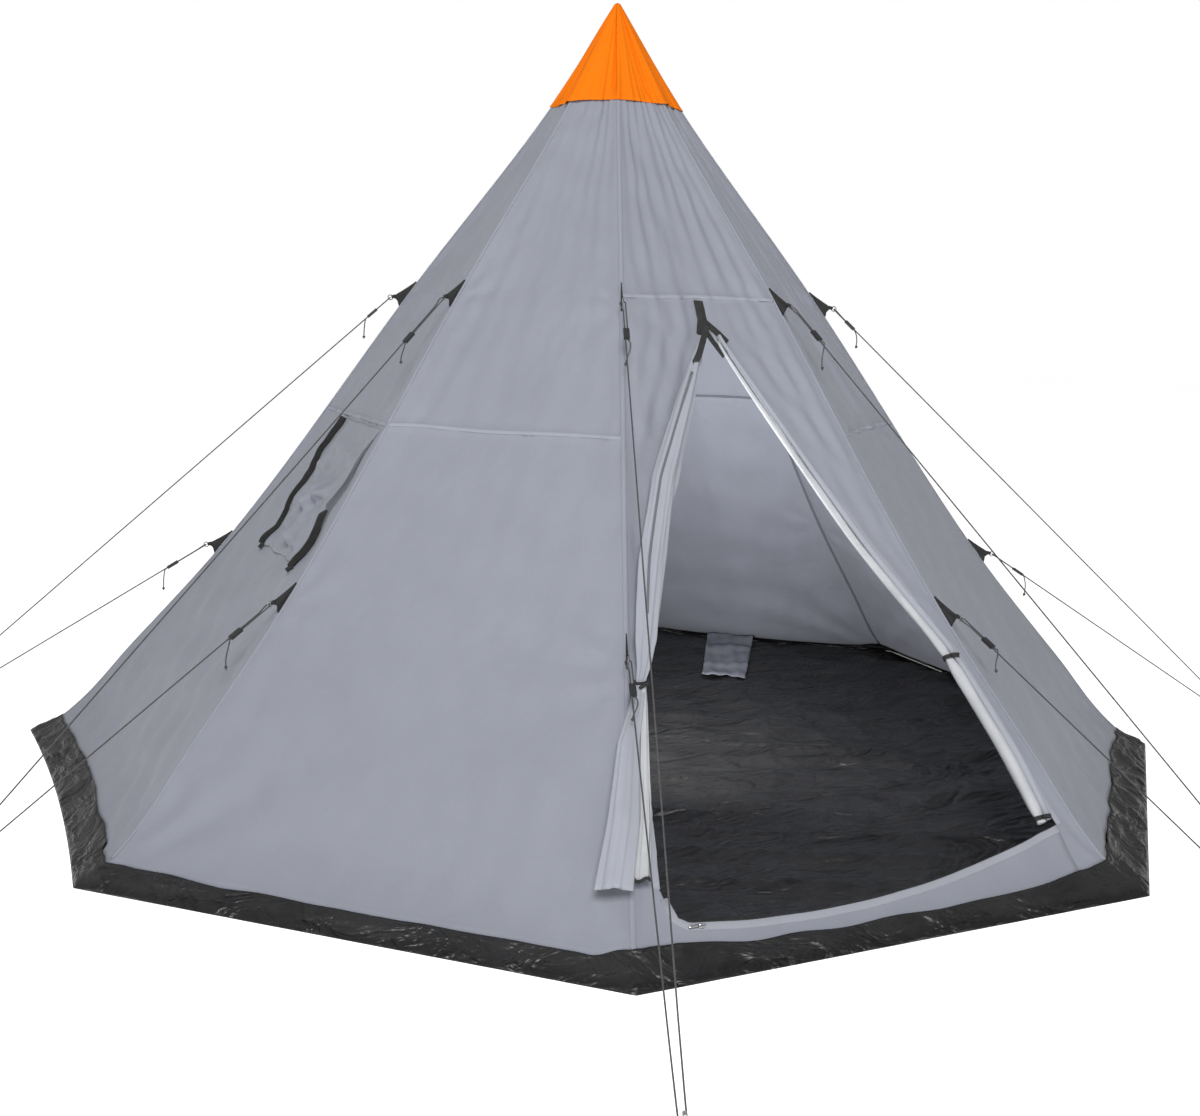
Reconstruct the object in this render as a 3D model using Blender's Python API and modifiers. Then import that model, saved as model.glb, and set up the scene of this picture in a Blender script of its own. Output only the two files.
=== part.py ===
"""Eight-sided teepee tent on one centre pole, with its door tied open and its guy lines pegged out.

Metres, +Z up. The origin is on the ground under the pole, and the door wall faces -Y.
Corners and walls are numbered anticlockwise from above: corner 0 is the door wall's left one
and wall 0 is the door wall, between corners 0 and 1.
"""

import math

import bmesh
import bpy
from mathutils import Matrix, Vector

# The tent's outline
SIDES = 8
HALF_ANGLE = math.pi / SIDES
PEAK_HEIGHT = 2.48
# The ridge's height and its distance from the pole: fabric hangs hollow between peak and peg
RIDGE_PROFILE = (
    (0.0, 1.975),
    (0.058, 1.864),
    (0.32, 1.620),
    (0.70, 1.287),
    (1.565, 0.657),
    (2.148, 0.212),
    (PEAK_HEIGHT, 0.0),
)
# How far each ridge stands out of that profile halfway up, as its guys pull on it
RIDGE_PULLS = (0.0, 0.0, 0.020, 0.0, 0.0, 0.0, -0.010, 0.0)
WALL_SAG = 0.020
HEM_BOW_HEIGHT = 0.70
# How far the foot of each wall is drawn in at its middle
HEM_BOWS = (0.0, 0.0, 0.03, 0.09, 0.06, 0.05, 0.025, 0.0)

WALL_NAMES = (
    "front_door",
    "front_right",
    "right",
    "rear_right",
    "rear",
    "rear_left",
    "left_window",
    "front_left",
)
CORNER_NAMES = (
    "front_left",
    "front_right",
    "right_front",
    "right_rear",
    "rear_right",
    "rear_left",
    "left_rear",
    "left_front",
)

# Fabrics
CLEARANCE = 0.0003
WALL_THICKNESS = 0.0015
WALL_BOTTOM = 0.0525
WALL_TOP = 2.165
WALL_ROW_COUNT = 12
RIDGE_GAP = 0.004
TAPE_WIDTH = 0.012
TAPE_THICKNESS = 0.0014
TAPE_LIFT = 0.0006
TAPE_TOP = 2.130
CAP_BOTTOM = 2.148
CAP_LIFT = 0.0045
CAP_THICKNESS = 0.0015
FLOOR_THICKNESS = 0.002
BAND_TOP = 0.052
BAND_THICKNESS = 0.0012

# Door
DOOR_PEAK = 1.44
DOOR_KNEE = (0.495, 0.56)
DOOR_FOOT = 0.605
SILL_HEIGHT = 0.066
SILL_LOW_X = -0.20
SILL_RADIUS = 2.8
SILL_LEFT_CORNER = ((-0.555, 0.081), (-0.590, 0.098), (-0.605, 0.130))
ZIP_START = -0.53
# A roll's level distance from a leaning wall, for each unit of its radius
LEAN = 1.40
ZIP_BELOW_EDGE = 0.0085

# Window, on the left wall
WINDOW_SIDE = 6
WINDOW_CENTRE = 0.10
WINDOW_HALF_WIDTH = 0.19
WINDOW_LOW = 0.80
WINDOW_HIGH = 1.085
FLAP_HALF_WIDTH = 0.225
FLAP_LOW = 0.735
FLAP_HIGH = 1.125
FLAP_THICKNESS = 0.003
FLAP_LIFT = 0.008
NET_MARGIN = 0.02

# Pole
POLE_RADIUS = 0.011
POLE_BORE = 0.010
SPIGOT_RADIUS = 0.0095
SPIGOT_BORE = 0.0085
SPIGOT_LENGTH = 0.08
POLE_JOINTS = (0.84, 1.66)
POLE_TOP = 2.460
POLE_STEPS = 14

# Guys: two lines from each ridge to one peg
CORD_RADIUS = 0.002
FIN_LENGTH = 0.102
FIN_REACH = 0.038
FIN_HALF_THICKNESS = 0.0012
LEVELS = ("upper", "lower")
UPPER_FIN_TOP = 1.569
# The lower patches settle at slightly different heights as their guys are tightened
LOWER_FIN_TOPS = (0.668, 0.702, 0.735, 0.707, 0.707, 0.707, 0.715, 0.709)
RING_RADIUS = 0.008
RING_WIRE = 0.0016
PEG_SHANK_RADIUS = 0.004
PEG_LOOP_RADIUS = 0.0082
PEG_LOOP_HEIGHT = 0.021
LEG_BEND = 0.02
RUNNER_SIZE = (0.040, 0.017, 0.009)
RUNNER_BORE = 0.0026
RUNNER_BORE_SPACING = 0.008
# Each peg's distance from the pole and its angle off the ridge's line, in degrees
PEG_SPOTS = (
    (2.52, 1.1),
    (2.50, -4.4),
    (2.43, 2.0),
    (2.44, -1.5),
    (2.45, 1.0),
    (2.44, -2.0),
    (2.42, 5.8),
    (2.42, -0.9),
)
# How far down its line each runner is set: upper, lower
RUNNER_SPOTS = (
    (0.13, 0.10),
    (0.12, 0.10),
    (0.07, 0.11),
    (0.12, 0.10),
    (0.10, 0.12),
    (0.12, 0.10),
    (0.07, 0.12),
    (0.17, 0.12),
)

GREY = (0.36, 0.38, 0.42)
ORANGE = (1.0, 0.27, 0.01)
BLACK = (0.03, 0.03, 0.03)
WHITE = (0.80, 0.80, 0.82)
STEEL = (0.55, 0.56, 0.58)


def clear_scene():
    for obj in list(bpy.data.objects):
        bpy.data.objects.remove(obj, do_unlink=True)


def make_collection(name):
    collection = bpy.data.collections.new(name)
    bpy.context.scene.collection.children.link(collection)
    return collection


def make_material(name, colour, roughness, metallic=0.0):
    material = bpy.data.materials.new(name)
    material.use_nodes = True
    shader = material.node_tree.nodes["Principled BSDF"]
    shader.inputs["Base Color"].default_value = (*colour, 1.0)
    shader.inputs["Roughness"].default_value = roughness
    shader.inputs["Metallic"].default_value = metallic
    material.diffuse_color = (*colour, 1.0)
    return material


# ---- Outline of the tent ----


def profile_slopes():
    """The ridge profile's slope at each of its points, limited so that it never overshoots."""
    gaps = [
        (high[1] - low[1]) / (high[0] - low[0])
        for low, high in zip(RIDGE_PROFILE, RIDGE_PROFILE[1:])
    ]
    inner = [2 * a * b / (a + b) for a, b in zip(gaps, gaps[1:])]
    return [gaps[0], *inner, gaps[-1]]


SLOPES = profile_slopes()


def ridge_radius(z):
    """Distance of the ridge from the pole at height z, on a smooth curve through the profile."""
    pairs = zip(RIDGE_PROFILE, RIDGE_PROFILE[1:], SLOPES, SLOPES[1:])
    for (z0, r0), (z1, r1), m0, m1 in pairs:
        if z <= z1:
            break
    span = z1 - z0
    t = (z - z0) / span
    return (
        (2 * t**3 - 3 * t**2 + 1) * r0
        + (t**3 - 2 * t**2 + t) * span * m0
        + (3 * t**2 - 2 * t**3) * r1
        + (t**3 - t**2) * span * m1
    )


def half_width(z):
    """Half the width of a wall at height z."""
    return ridge_radius(z) * math.sin(HALF_ANGLE)


def corner_angle(corner):
    return -math.pi / 2 + (2 * corner - 1) * HALF_ANGLE


def wall_axes(side):
    """The wall's outward direction, and its level direction from its first corner to its second."""
    angle = -math.pi / 2 + 2 * side * HALF_ANGLE
    outward = Vector((math.cos(angle), math.sin(angle), 0))
    along = Vector((-math.sin(angle), math.cos(angle), 0))
    return outward, along


def wall_bow(side, z):
    bow = WALL_SAG * math.sin(math.pi * z / PEAK_HEIGHT)
    if z < HEM_BOW_HEIGHT:
        bow += HEM_BOWS[side] * (1 - z / HEM_BOW_HEIGHT) ** 2
    return bow


def wall_point(side, s, z, lift=0.0):
    """A point on a wall's outer face: s runs from -1 on its first ridge to 1 on its second."""
    outward, _ = wall_axes(side)
    start = ridge_point(side, z)
    end = ridge_point((side + 1) % SIDES, z)
    depth = lift - wall_bow(side, z) * (1 - s * s)
    return start.lerp(end, (s + 1) / 2) + outward * depth


def ridge_point(corner, z, lift=0.0):
    angle = corner_angle(corner)
    pull = RIDGE_PULLS[corner] * math.sin(math.pi * z / PEAK_HEIGHT)
    radius = ridge_radius(z) + pull + lift
    return Vector((radius * math.cos(angle), radius * math.sin(angle), z))


# ---- Mesh helpers ----


def finish_object(name, mesh, material, collection):
    mesh.materials.clear()
    mesh.materials.append(material)
    mesh.shade_smooth()
    mesh.set_sharp_from_angle(angle=math.radians(35))
    obj = bpy.data.objects.new(name, mesh)
    collection.objects.link(obj)
    return obj


def mesh_from_bmesh(name, bm):
    mesh = bpy.data.meshes.new(name)
    bm.to_mesh(mesh)
    bm.free()
    return mesh


def grid_mesh(name, rows, closed=False):
    """An open sheet through rows of points. A closed one joins each row's end to its start."""
    bm = bmesh.new()
    verts = [[bm.verts.new(point) for point in row] for row in rows]
    count = len(rows[0])
    for low, high in zip(verts, verts[1:]):
        for i in range(count if closed else count - 1):
            j = (i + 1) % count
            bm.faces.new((low[i], low[j], high[j], high[i]))
    return mesh_from_bmesh(name, bm)


def loft_mesh(name, sections):
    """A solid through rings of points, each anticlockwise as seen from the last one, with flat ends."""
    bm = bmesh.new()
    rings = [[bm.verts.new(point) for point in ring] for ring in sections]
    for low, high in zip(rings, rings[1:]):
        for i in range(len(low)):
            j = (i + 1) % len(low)
            bm.faces.new((low[i], low[j], high[j], high[i]))
    bm.faces.new(list(reversed(rings[0])))
    bm.faces.new(rings[-1])
    bmesh.ops.recalc_face_normals(bm, faces=bm.faces)
    return mesh_from_bmesh(name, bm)


def solidify(obj, thickness):
    """Gives an outer face its thickness, inwards."""
    modifier = obj.modifiers.new("Thickness", "SOLIDIFY")
    modifier.thickness = thickness
    modifier.offset = -1
    modifier.use_even_offset = True


def boolean(obj, other, operation):
    modifier = obj.modifiers.new(operation.title(), "BOOLEAN")
    modifier.operation = operation
    modifier.object = other


def hide_helper(obj, helpers):
    for collection in list(obj.users_collection):
        collection.objects.unlink(obj)
    helpers.objects.link(obj)
    obj.hide_render = True
    obj.display_type = "WIRE"


def curve_to_mesh(obj):
    """The mesh of a curve object, with its loose caps welded on. The curve is removed."""
    bpy.context.scene.collection.objects.link(obj)
    graph = bpy.context.evaluated_depsgraph_get()
    mesh = bpy.data.meshes.new_from_object(obj.evaluated_get(graph))
    bm = bmesh.new()
    bm.from_mesh(mesh)
    bmesh.ops.remove_doubles(bm, verts=bm.verts, dist=0.000001)
    bmesh.ops.recalc_face_normals(bm, faces=bm.faces)
    bm.to_mesh(mesh)
    bm.free()
    bpy.data.objects.remove(obj, do_unlink=True)
    return mesh


def plate_mesh(name, outline, thickness):
    """A flat plate on the XY plane, half its thickness to each side."""
    curve = bpy.data.curves.new(name, "CURVE")
    curve.dimensions = "2D"
    curve.fill_mode = "BOTH"
    curve.extrude = thickness / 2
    spline = curve.splines.new("POLY")
    spline.points.add(len(outline) - 1)
    for point, (x, y) in zip(spline.points, outline):
        point.co = (x, y, 0, 1)
    spline.use_cyclic_u = True
    return curve_to_mesh(bpy.data.objects.new(name, curve))


def tube_curve(name, points, radius, radii=None):
    curve = bpy.data.curves.new(name, "CURVE")
    curve.dimensions = "3D"
    curve.bevel_depth = radius
    curve.bevel_resolution = 2
    curve.use_fill_caps = True
    spline = curve.splines.new("POLY")
    spline.points.add(len(points) - 1)
    for i, (target, point) in enumerate(zip(spline.points, points)):
        target.co = (*point, 1)
        target.radius = radii[i] if radii else 1.0
    return curve


def tube(name, points, radius, material, collection, radii=None):
    curve = tube_curve(name, points, radius, radii)
    curve.materials.append(material)
    obj = bpy.data.objects.new(name, curve)
    collection.objects.link(obj)
    return obj


def box_mesh(name, size, bevel=0.0):
    bm = bmesh.new()
    bmesh.ops.create_cube(bm, size=1.0, matrix=Matrix.Diagonal((*size, 1)))
    if bevel:
        bmesh.ops.bevel(
            bm, geom=bm.edges, offset=bevel, segments=1, affect="EDGES", clamp_overlap=True
        )
    return mesh_from_bmesh(name, bm)


def turned_object(name, profile, material, collection, closed):
    """A profile in the XZ plane turned round Z. It runs down its outer side."""
    bm = bmesh.new()
    verts = [bm.verts.new((x, 0, z)) for x, z in profile]
    for a, b in zip(verts, verts[1:]):
        bm.edges.new((a, b))
    if closed:
        bm.edges.new((verts[-1], verts[0]))
    obj = finish_object(name, mesh_from_bmesh(name, bm), material, collection)
    screw = obj.modifiers.new("Turn", "SCREW")
    screw.steps = POLE_STEPS
    screw.render_steps = POLE_STEPS
    screw.use_merge_vertices = True
    screw.merge_threshold = 0.00005
    return obj


def frame_matrix(origin, x_axis, z_hint):
    """A placement with X along x_axis and Z as near z_hint as it can be."""
    x = x_axis.normalized()
    y = z_hint.cross(x).normalized()
    z = x.cross(y)
    matrix = Matrix((x, y, z)).transposed().to_4x4()
    matrix.translation = origin
    return matrix


# ---- Canopy ----


def wall_rows():
    """Heights of the wall's rows up to the tape's top, closer together near the ground, and its top."""
    span = TAPE_TOP - WALL_BOTTOM
    last = WALL_ROW_COUNT - 1
    rows = [WALL_BOTTOM + span * (i / last) ** 1.3 for i in range(WALL_ROW_COUNT)]
    return [*rows, WALL_TOP]


def wall_columns(z):
    edge = 1 - RIDGE_GAP / half_width(z)
    tape = 1 - TAPE_WIDTH / half_width(z)
    return (-edge, -tape, -0.5, 0.0, 0.5, tape, edge)


def make_wall(side, material, collection):
    rows = [[wall_point(side, s, z) for s in wall_columns(z)] for z in wall_rows()]
    name = "wall_" + WALL_NAMES[side]
    wall = finish_object(name, grid_mesh(name, rows), material, collection)
    solidify(wall, WALL_THICKNESS)
    return wall


def sill_plane():
    """The plane of the door wall's foot: a point on the sill, its up-slope direction and its normal."""
    low = wall_point(0, 0, SILL_HEIGHT)
    high = wall_point(0, 0, 0.16)
    up = (high - low).normalized()
    low.x = SILL_LOW_X
    normal = Vector((1, 0, 0)).cross(up)
    return low, up, normal


def sill_point(x, below=0.0):
    """A point of the sill's arc, or of a line that runs below it at a set distance."""
    low, up, _ = sill_plane()
    radius = SILL_RADIUS + below
    across = x - SILL_LOW_X
    rise = SILL_RADIUS - math.sqrt(radius * radius - across * across)
    return low + up * rise + Vector((across, 0, 0))


def door_outline():
    """The doorway in X and Z: straight sides down to the knees, then in to an arched sill."""
    last = SILL_LEFT_CORNER[0][0]
    sill = [sill_point(DOOR_FOOT + (last - DOOR_FOOT) * i / 8) for i in range(8)]
    right = [(0.0, DOOR_PEAK), DOOR_KNEE]
    left = [(-DOOR_KNEE[0], DOOR_KNEE[1])]
    return right + [(point.x, point.z) for point in sill] + [*SILL_LEFT_CORNER] + left


def cut_door(wall, helpers, material):
    cutter_mesh = plate_mesh("door_cutter", door_outline(), 2.0)
    cutter = finish_object("door_cutter", cutter_mesh, material, helpers)
    cutter.matrix_world = Matrix.Translation((0, -1.4, 0)) @ Matrix.Rotation(math.pi / 2, 4, "X")
    hide_helper(cutter, helpers)
    boolean(wall, cutter, "DIFFERENCE")


def cut_window(wall, helpers, material):
    outward, along = wall_axes(WINDOW_SIDE)
    middle = (WINDOW_LOW + WINDOW_HIGH) / 2
    size = (1.0, 2 * WINDOW_HALF_WIDTH, WINDOW_HIGH - WINDOW_LOW)
    cutter = finish_object("window_cutter", box_mesh("window_cutter", size), material, helpers)
    cutter.location = outward * 0.95 + along * WINDOW_CENTRE + Vector((0, 0, middle))
    hide_helper(cutter, helpers)
    boolean(wall, cutter, "DIFFERENCE")


def make_cap(material, collection):
    """The peak's cone, sewn over the tops of the walls."""
    rows = []
    for i in range(5):
        z = CAP_BOTTOM + (PEAK_HEIGHT - 0.012 - CAP_BOTTOM) * i / 4
        rows.append(
            [wall_point(side, s, z, CAP_LIFT) for side in range(SIDES) for s in (-1, 0)]
        )
    bm = bmesh.new()
    bm.from_mesh(grid_mesh("peak_cap", rows, closed=True))
    bm.verts.ensure_lookup_table()
    tip = bm.verts.new((0, 0, PEAK_HEIGHT))
    top = list(bm.verts)[-1 - 2 * SIDES : -1]
    for a, b in zip(top, top[1:] + top[:1]):
        bm.faces.new((a, b, tip))
    cap = finish_object("peak_cap", mesh_from_bmesh("peak_cap", bm), material, collection)
    solidify(cap, CAP_THICKNESS)
    return cap


def ground_ring(z):
    columns = (-1, -0.5, 0, 0.5)
    return [wall_point(side, s, z) for side in range(SIDES) for s in columns]


def make_groundsheet(material, collection):
    outline = [(point.x, point.y) for point in ground_ring(0.0)]
    floor_mesh = plate_mesh("groundsheet_floor", outline, FLOOR_THICKNESS)
    floor = finish_object("groundsheet_floor", floor_mesh, material, collection)
    floor.location.z = FLOOR_THICKNESS / 2
    low = FLOOR_THICKNESS + CLEARANCE + BAND_THICKNESS
    rows = [ground_ring(z) for z in (low, (low + BAND_TOP) / 2, BAND_TOP)]
    band_mesh = grid_mesh("groundsheet_band", rows, closed=True)
    band = finish_object("groundsheet_band", band_mesh, material, collection)
    solidify(band, BAND_THICKNESS)


# ---- Ridges and guys ----


def tape_section(corner, z):
    """One ring of the seam tape: a chevron over the ridge, following the walls on both sides."""
    reach = 1 - TAPE_WIDTH / half_width(z)
    before = (corner - 1) % SIDES
    inner = TAPE_LIFT
    outer = TAPE_LIFT + TAPE_THICKNESS
    return [
        wall_point(before, reach, z, inner),
        wall_point(before, reach, z, outer),
        ridge_point(corner, z, outer / math.cos(HALF_ANGLE)),
        wall_point(corner, -reach, z, outer),
        wall_point(corner, -reach, z, inner),
        ridge_point(corner, z, inner / math.cos(HALF_ANGLE)),
    ]


def fin_corners(corner, level):
    """The guy patch's tip, its foot on the ridge and its outer corner, all in the ridge's plane."""
    top_z = UPPER_FIN_TOP if level == "upper" else LOWER_FIN_TOPS[corner]
    tip = ridge_point(corner, top_z, TAPE_LIFT)
    lower = ridge_point(corner, top_z - 0.08, TAPE_LIFT)
    down = (lower - tip).normalized()
    outward = Vector((math.cos(corner_angle(corner)), math.sin(corner_angle(corner)), 0))
    out = (outward - down * outward.dot(down)).normalized()
    foot = tip + down * FIN_LENGTH
    point = tip + down * (FIN_LENGTH * 0.92) + out * FIN_REACH
    return tip, foot, point, down, out


def ring_centre(corner, level):
    _, _, point, down, out = fin_corners(corner, level)
    return point + (down + out).normalized() * (RING_RADIUS * 0.4)


def peg_point(corner):
    distance, turn = PEG_SPOTS[corner]
    angle = corner_angle(corner) + math.radians(turn)
    return Vector((distance * math.cos(angle), distance * math.sin(angle), 0))


def make_ridge(corner, material, collection, helpers):
    name = "ridge_seam_" + CORNER_NAMES[corner]
    sections = [tape_section(corner, z) for z in wall_rows()[:-1]]
    ridge = finish_object(name, loft_mesh(name, sections), material, collection)
    for level in LEVELS:
        add_fin(ridge, corner, level, material, helpers)
    return ridge


def add_fin(ridge, corner, level, material, helpers):
    """Joins a triangular guy patch and its ring to the seam tape."""
    tip, foot, point, down, out = fin_corners(corner, level)
    matrix = Matrix((down, out, down.cross(out))).transposed().to_4x4()
    matrix.translation = tip
    local = [matrix.inverted() @ corner_point for corner_point in (tip, foot, point)]
    name = f"fin_{level}_{CORNER_NAMES[corner]}"
    outline = [(vector.x, vector.y) for vector in local]
    plate = plate_mesh(name, outline, 2 * FIN_HALF_THICKNESS)
    fin = finish_object(name, plate, material, helpers)
    fin.matrix_world = matrix
    hide_helper(fin, helpers)
    boolean(ridge, fin, "UNION")
    ring_mesh = ring_primitive("ring_" + name)
    ring = finish_object("ring_" + name, ring_mesh, material, helpers)
    matrix.translation = ring_centre(corner, level)
    ring.matrix_world = matrix
    hide_helper(ring, helpers)
    boolean(ridge, ring, "UNION")


def ring_primitive(name):
    bpy.ops.mesh.primitive_torus_add(
        major_segments=8,
        minor_segments=5,
        major_radius=RING_RADIUS,
        minor_radius=RING_WIRE,
    )
    torus = bpy.context.object
    mesh = torus.data
    mesh.name = name
    bpy.data.objects.remove(torus, do_unlink=True)
    return mesh


def line_frame(corner):
    """The peg's placement: X points away from the tent, level, and Y is sideways."""
    peg = peg_point(corner)
    away = peg - ridge_point(corner, LOWER_FIN_TOPS[corner])
    away.z = 0
    return frame_matrix(peg, away, Vector((0, 0, 1)))


def line_start(corner, level):
    """Where a line leaves its ring, just clear of the wire."""
    centre = ring_centre(corner, level)
    peg = peg_point(corner) + Vector((0, 0, PEG_LOOP_HEIGHT))
    toward = (peg - centre).normalized()
    return centre + toward * (RING_RADIUS + RING_WIRE + 0.001)


def leg_points(corner, level, side_sign):
    """A line's points from its ring down to the peg's side."""
    placement = line_frame(corner)
    start = placement.inverted() @ line_start(corner, level)
    slope = (start.z - PEG_LOOP_HEIGHT) / -start.x
    points = []
    for distance in (0.16, 0.10, 0.06, 0.035, 0.018, 0.006):
        rise = (math.hypot(distance, LEG_BEND) + distance) / 2 - LEG_BEND / 2
        sideways = side_sign * PEG_LOOP_RADIUS
        points.append(Vector((-distance, sideways, PEG_LOOP_HEIGHT + slope * rise)))
    straight = [start.lerp(points[0], i / 3) for i in range(3)]
    return [placement @ point for point in straight + points]


def line_points(corner):
    """One cord from the upper ring, round the peg and back up to the lower ring."""
    placement = line_frame(corner)
    loop = []
    for i in range(9):
        angle = math.pi / 2 - math.pi * i / 8
        across = PEG_LOOP_RADIUS * math.cos(angle)
        sideways = PEG_LOOP_RADIUS * math.sin(angle)
        loop.append(placement @ Vector((across, sideways, PEG_LOOP_HEIGHT)))
    return leg_points(corner, "upper", 1) + loop + leg_points(corner, "lower", -1)[::-1]


def runner_matrix(corner, level):
    """A runner's placement on its line: X down the line, towards the peg."""
    points = leg_points(corner, level, 1 if level == "upper" else -1)
    down = (points[1] - points[0]).normalized()
    distance = RUNNER_SPOTS[corner][0 if level == "upper" else 1]
    return frame_matrix(points[0] + down * distance, down, Vector((0, 0, 1)))


def make_runner_mesh(material, helpers):
    """A flat bar with two lengthwise bores: the line runs in one and its end is tied in the other."""
    body_mesh = box_mesh("runner", RUNNER_SIZE)
    body = finish_object("runner_blank", body_mesh, material, helpers)
    body.location.y = RUNNER_BORE_SPACING / 2
    for i in range(2):
        bm = bmesh.new()
        turn = Matrix.Rotation(math.pi / 2, 4, "Y")
        bmesh.ops.create_cone(
            bm,
            cap_ends=True,
            segments=8,
            radius1=RUNNER_BORE,
            radius2=RUNNER_BORE,
            depth=2 * RUNNER_SIZE[0],
            matrix=turn,
        )
        name = f"runner_bore_{i}"
        bore = finish_object(name, mesh_from_bmesh(name, bm), material, helpers)
        bore.location.y = RUNNER_BORE_SPACING * i
        hide_helper(bore, helpers)
        boolean(body, bore, "DIFFERENCE")
    bpy.context.view_layer.update()
    graph = bpy.context.evaluated_depsgraph_get()
    mesh = bpy.data.meshes.new_from_object(body.evaluated_get(graph))
    mesh.transform(body.matrix_world)
    bpy.data.objects.remove(body, do_unlink=True)
    return mesh


def make_runner(corner, level, mesh, material, collection):
    name = f"runner_{level}_{CORNER_NAMES[corner]}"
    pivot = bpy.data.objects.new("pivot_" + name, None)
    collection.objects.link(pivot)
    pivot.matrix_world = runner_matrix(corner, level)
    runner = finish_object(name, mesh, material, collection)
    runner.parent = pivot


def make_peg(corner, material, collection):
    """The part of a hooked peg that stands above the ground."""
    hook = [(0, 0, 0.0003), (0, 0, 0.016), (0, 0, 0.032)]
    for i in range(7):
        angle = math.pi - math.pi * i / 6
        hook.append((0.012 + 0.012 * math.cos(angle), 0, 0.034 + 0.012 * math.sin(angle)))
    name = "guy_peg_" + CORNER_NAMES[corner]
    placement = line_frame(corner)
    points = [placement @ Vector(point) for point in hook]
    tube(name, points, PEG_SHANK_RADIUS, material, collection)


# ---- Pole ----


def pole_tube(bottom, joint):
    """A tube with a swaged spigot above its shoulder, as a closed profile."""
    top = joint + SPIGOT_LENGTH
    return [
        (SPIGOT_RADIUS, top),
        (SPIGOT_RADIUS, joint + 0.004),
        (POLE_RADIUS, joint),
        (POLE_RADIUS, bottom),
        (POLE_BORE, bottom),
        (POLE_BORE, joint - 0.004),
        (SPIGOT_BORE, joint),
        (SPIGOT_BORE, top),
    ]


def make_pole(steel, rubber, collection):
    foot = FLOOR_THICKNESS + CLEARANCE
    cup_floor = foot + 0.006
    bore = POLE_RADIUS + CLEARANCE
    cup = [
        (0, cup_floor),
        (bore, cup_floor),
        (bore, foot + 0.035),
        (0.0145, foot + 0.035),
        (0.0165, foot + 0.004),
        (0.0165, foot),
        (0, foot),
    ]
    turned_object("pole_foot", cup, rubber, collection, closed=False)
    lower_start = cup_floor + CLEARANCE
    lower = pole_tube(lower_start, POLE_JOINTS[0])
    turned_object("pole_lower", lower, steel, collection, closed=True)
    middle = pole_tube(POLE_JOINTS[0] + CLEARANCE + 0.0045, POLE_JOINTS[1])
    turned_object("pole_middle", middle, steel, collection, closed=True)
    start = POLE_JOINTS[1] + CLEARANCE + 0.0045
    upper = [
        (0, POLE_TOP),
        (0.005, POLE_TOP - 0.003),
        (0.009, POLE_TOP - 0.010),
        (POLE_RADIUS, POLE_TOP - 0.020),
        (POLE_RADIUS, start),
        (POLE_BORE, start),
        (POLE_BORE, POLE_TOP - 0.022),
        (0, POLE_TOP - 0.022),
    ]
    turned_object("pole_upper", upper, steel, collection, closed=False)


# ---- Door, window and zip ----


def leaf_section(centre, outward, half, thickness):
    """An oval ring across the door leaf: half wide along the wall and thick away from it."""
    along = Vector((-outward.y, outward.x, 0))
    ring = []
    for i in range(12):
        angle = math.tau * i / 12
        offset = along * (half * math.cos(angle)) + outward * (thickness * math.sin(angle))
        ring.append(centre + offset)
    return ring


def make_left_leaf(material, collection):
    """The left door leaf: gathered into a bundle above its tie and hanging free below it."""
    # height, distance of the middle from the door's centre line, half width, half thickness, turn
    stations = (
        (0.175, 0.702, 0.078, 0.015, 1.0),
        (0.30, 0.642, 0.060, 0.017, 0.9),
        (0.45, 0.570, 0.042, 0.019, 0.6),
        (0.565, 0.506, 0.018, 0.018, 0.1),
        (0.66, 0.466, 0.026, 0.018, 0.0),
        (0.85, 0.390, 0.036, 0.022, 0.0),
        (1.05, 0.300, 0.030, 0.022, 0.0),
        (1.25, 0.160, 0.020, 0.016, 0.0),
        (1.36, 0.075, 0.010, 0.010, 0.0),
    )
    rings = []
    for z, x, half, thick, turn in stations:
        angle = -math.pi / 2 - HALF_ANGLE * turn
        outward = Vector((math.cos(angle), math.sin(angle), 0))
        lift = LEAN * thick + 0.010 + 0.12 * half
        centre = wall_point(0, -x / half_width(z), z) + outward * lift
        rings.append(leaf_section(centre, outward, half, thick))
    mesh = loft_mesh("door_leaf_left", rings)
    finish_object("door_leaf_left", mesh, material, collection)


def door_edge(z):
    """Half the doorway's width at height z."""
    knee_x, knee_z = DOOR_KNEE
    if z >= knee_z:
        return knee_x * (DOOR_PEAK - z) / (DOOR_PEAK - knee_z)
    foot_z = sill_point(DOOR_FOOT).z
    return DOOR_FOOT + (knee_x - DOOR_FOOT) * (z - foot_z) / (knee_z - foot_z)


def make_right_leaf(material, collection):
    """The right door leaf, rolled up inside the doorway's edge."""
    points = []
    radii = []
    for i in range(11):
        z = 0.19 + (1.33 - 0.19) * i / 10
        radius = 0.022 - 0.010 * i / 10
        x = door_edge(z) - LEAN * radius
        points.append(wall_point(0, x / half_width(z), z, radius / 2))
        radii.append(radius)
    tube("door_leaf_right", points, 1.0, material, collection, radii)


def window_patch(half, low, high, lift, columns, rows):
    """A sheet that follows the window wall at a set distance from its outer face."""
    sheet = []
    for j in range(rows):
        z = low + (high - low) * j / (rows - 1)
        row = []
        for i in range(columns):
            across = WINDOW_CENTRE + half * (2 * i / (columns - 1) - 1)
            row.append(wall_point(WINDOW_SIDE, across / half_width(z), z, lift))
        sheet.append(row)
    return sheet


def make_window_net(material, collection):
    half = WINDOW_HALF_WIDTH + NET_MARGIN
    low = WINDOW_LOW - NET_MARGIN
    high = WINDOW_HIGH + NET_MARGIN
    rows = window_patch(half, low, high, -WALL_THICKNESS - 0.003, 5, 5)
    net = finish_object("window_net", grid_mesh("window_net", rows), material, collection)
    solidify(net, 0.001)


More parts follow.
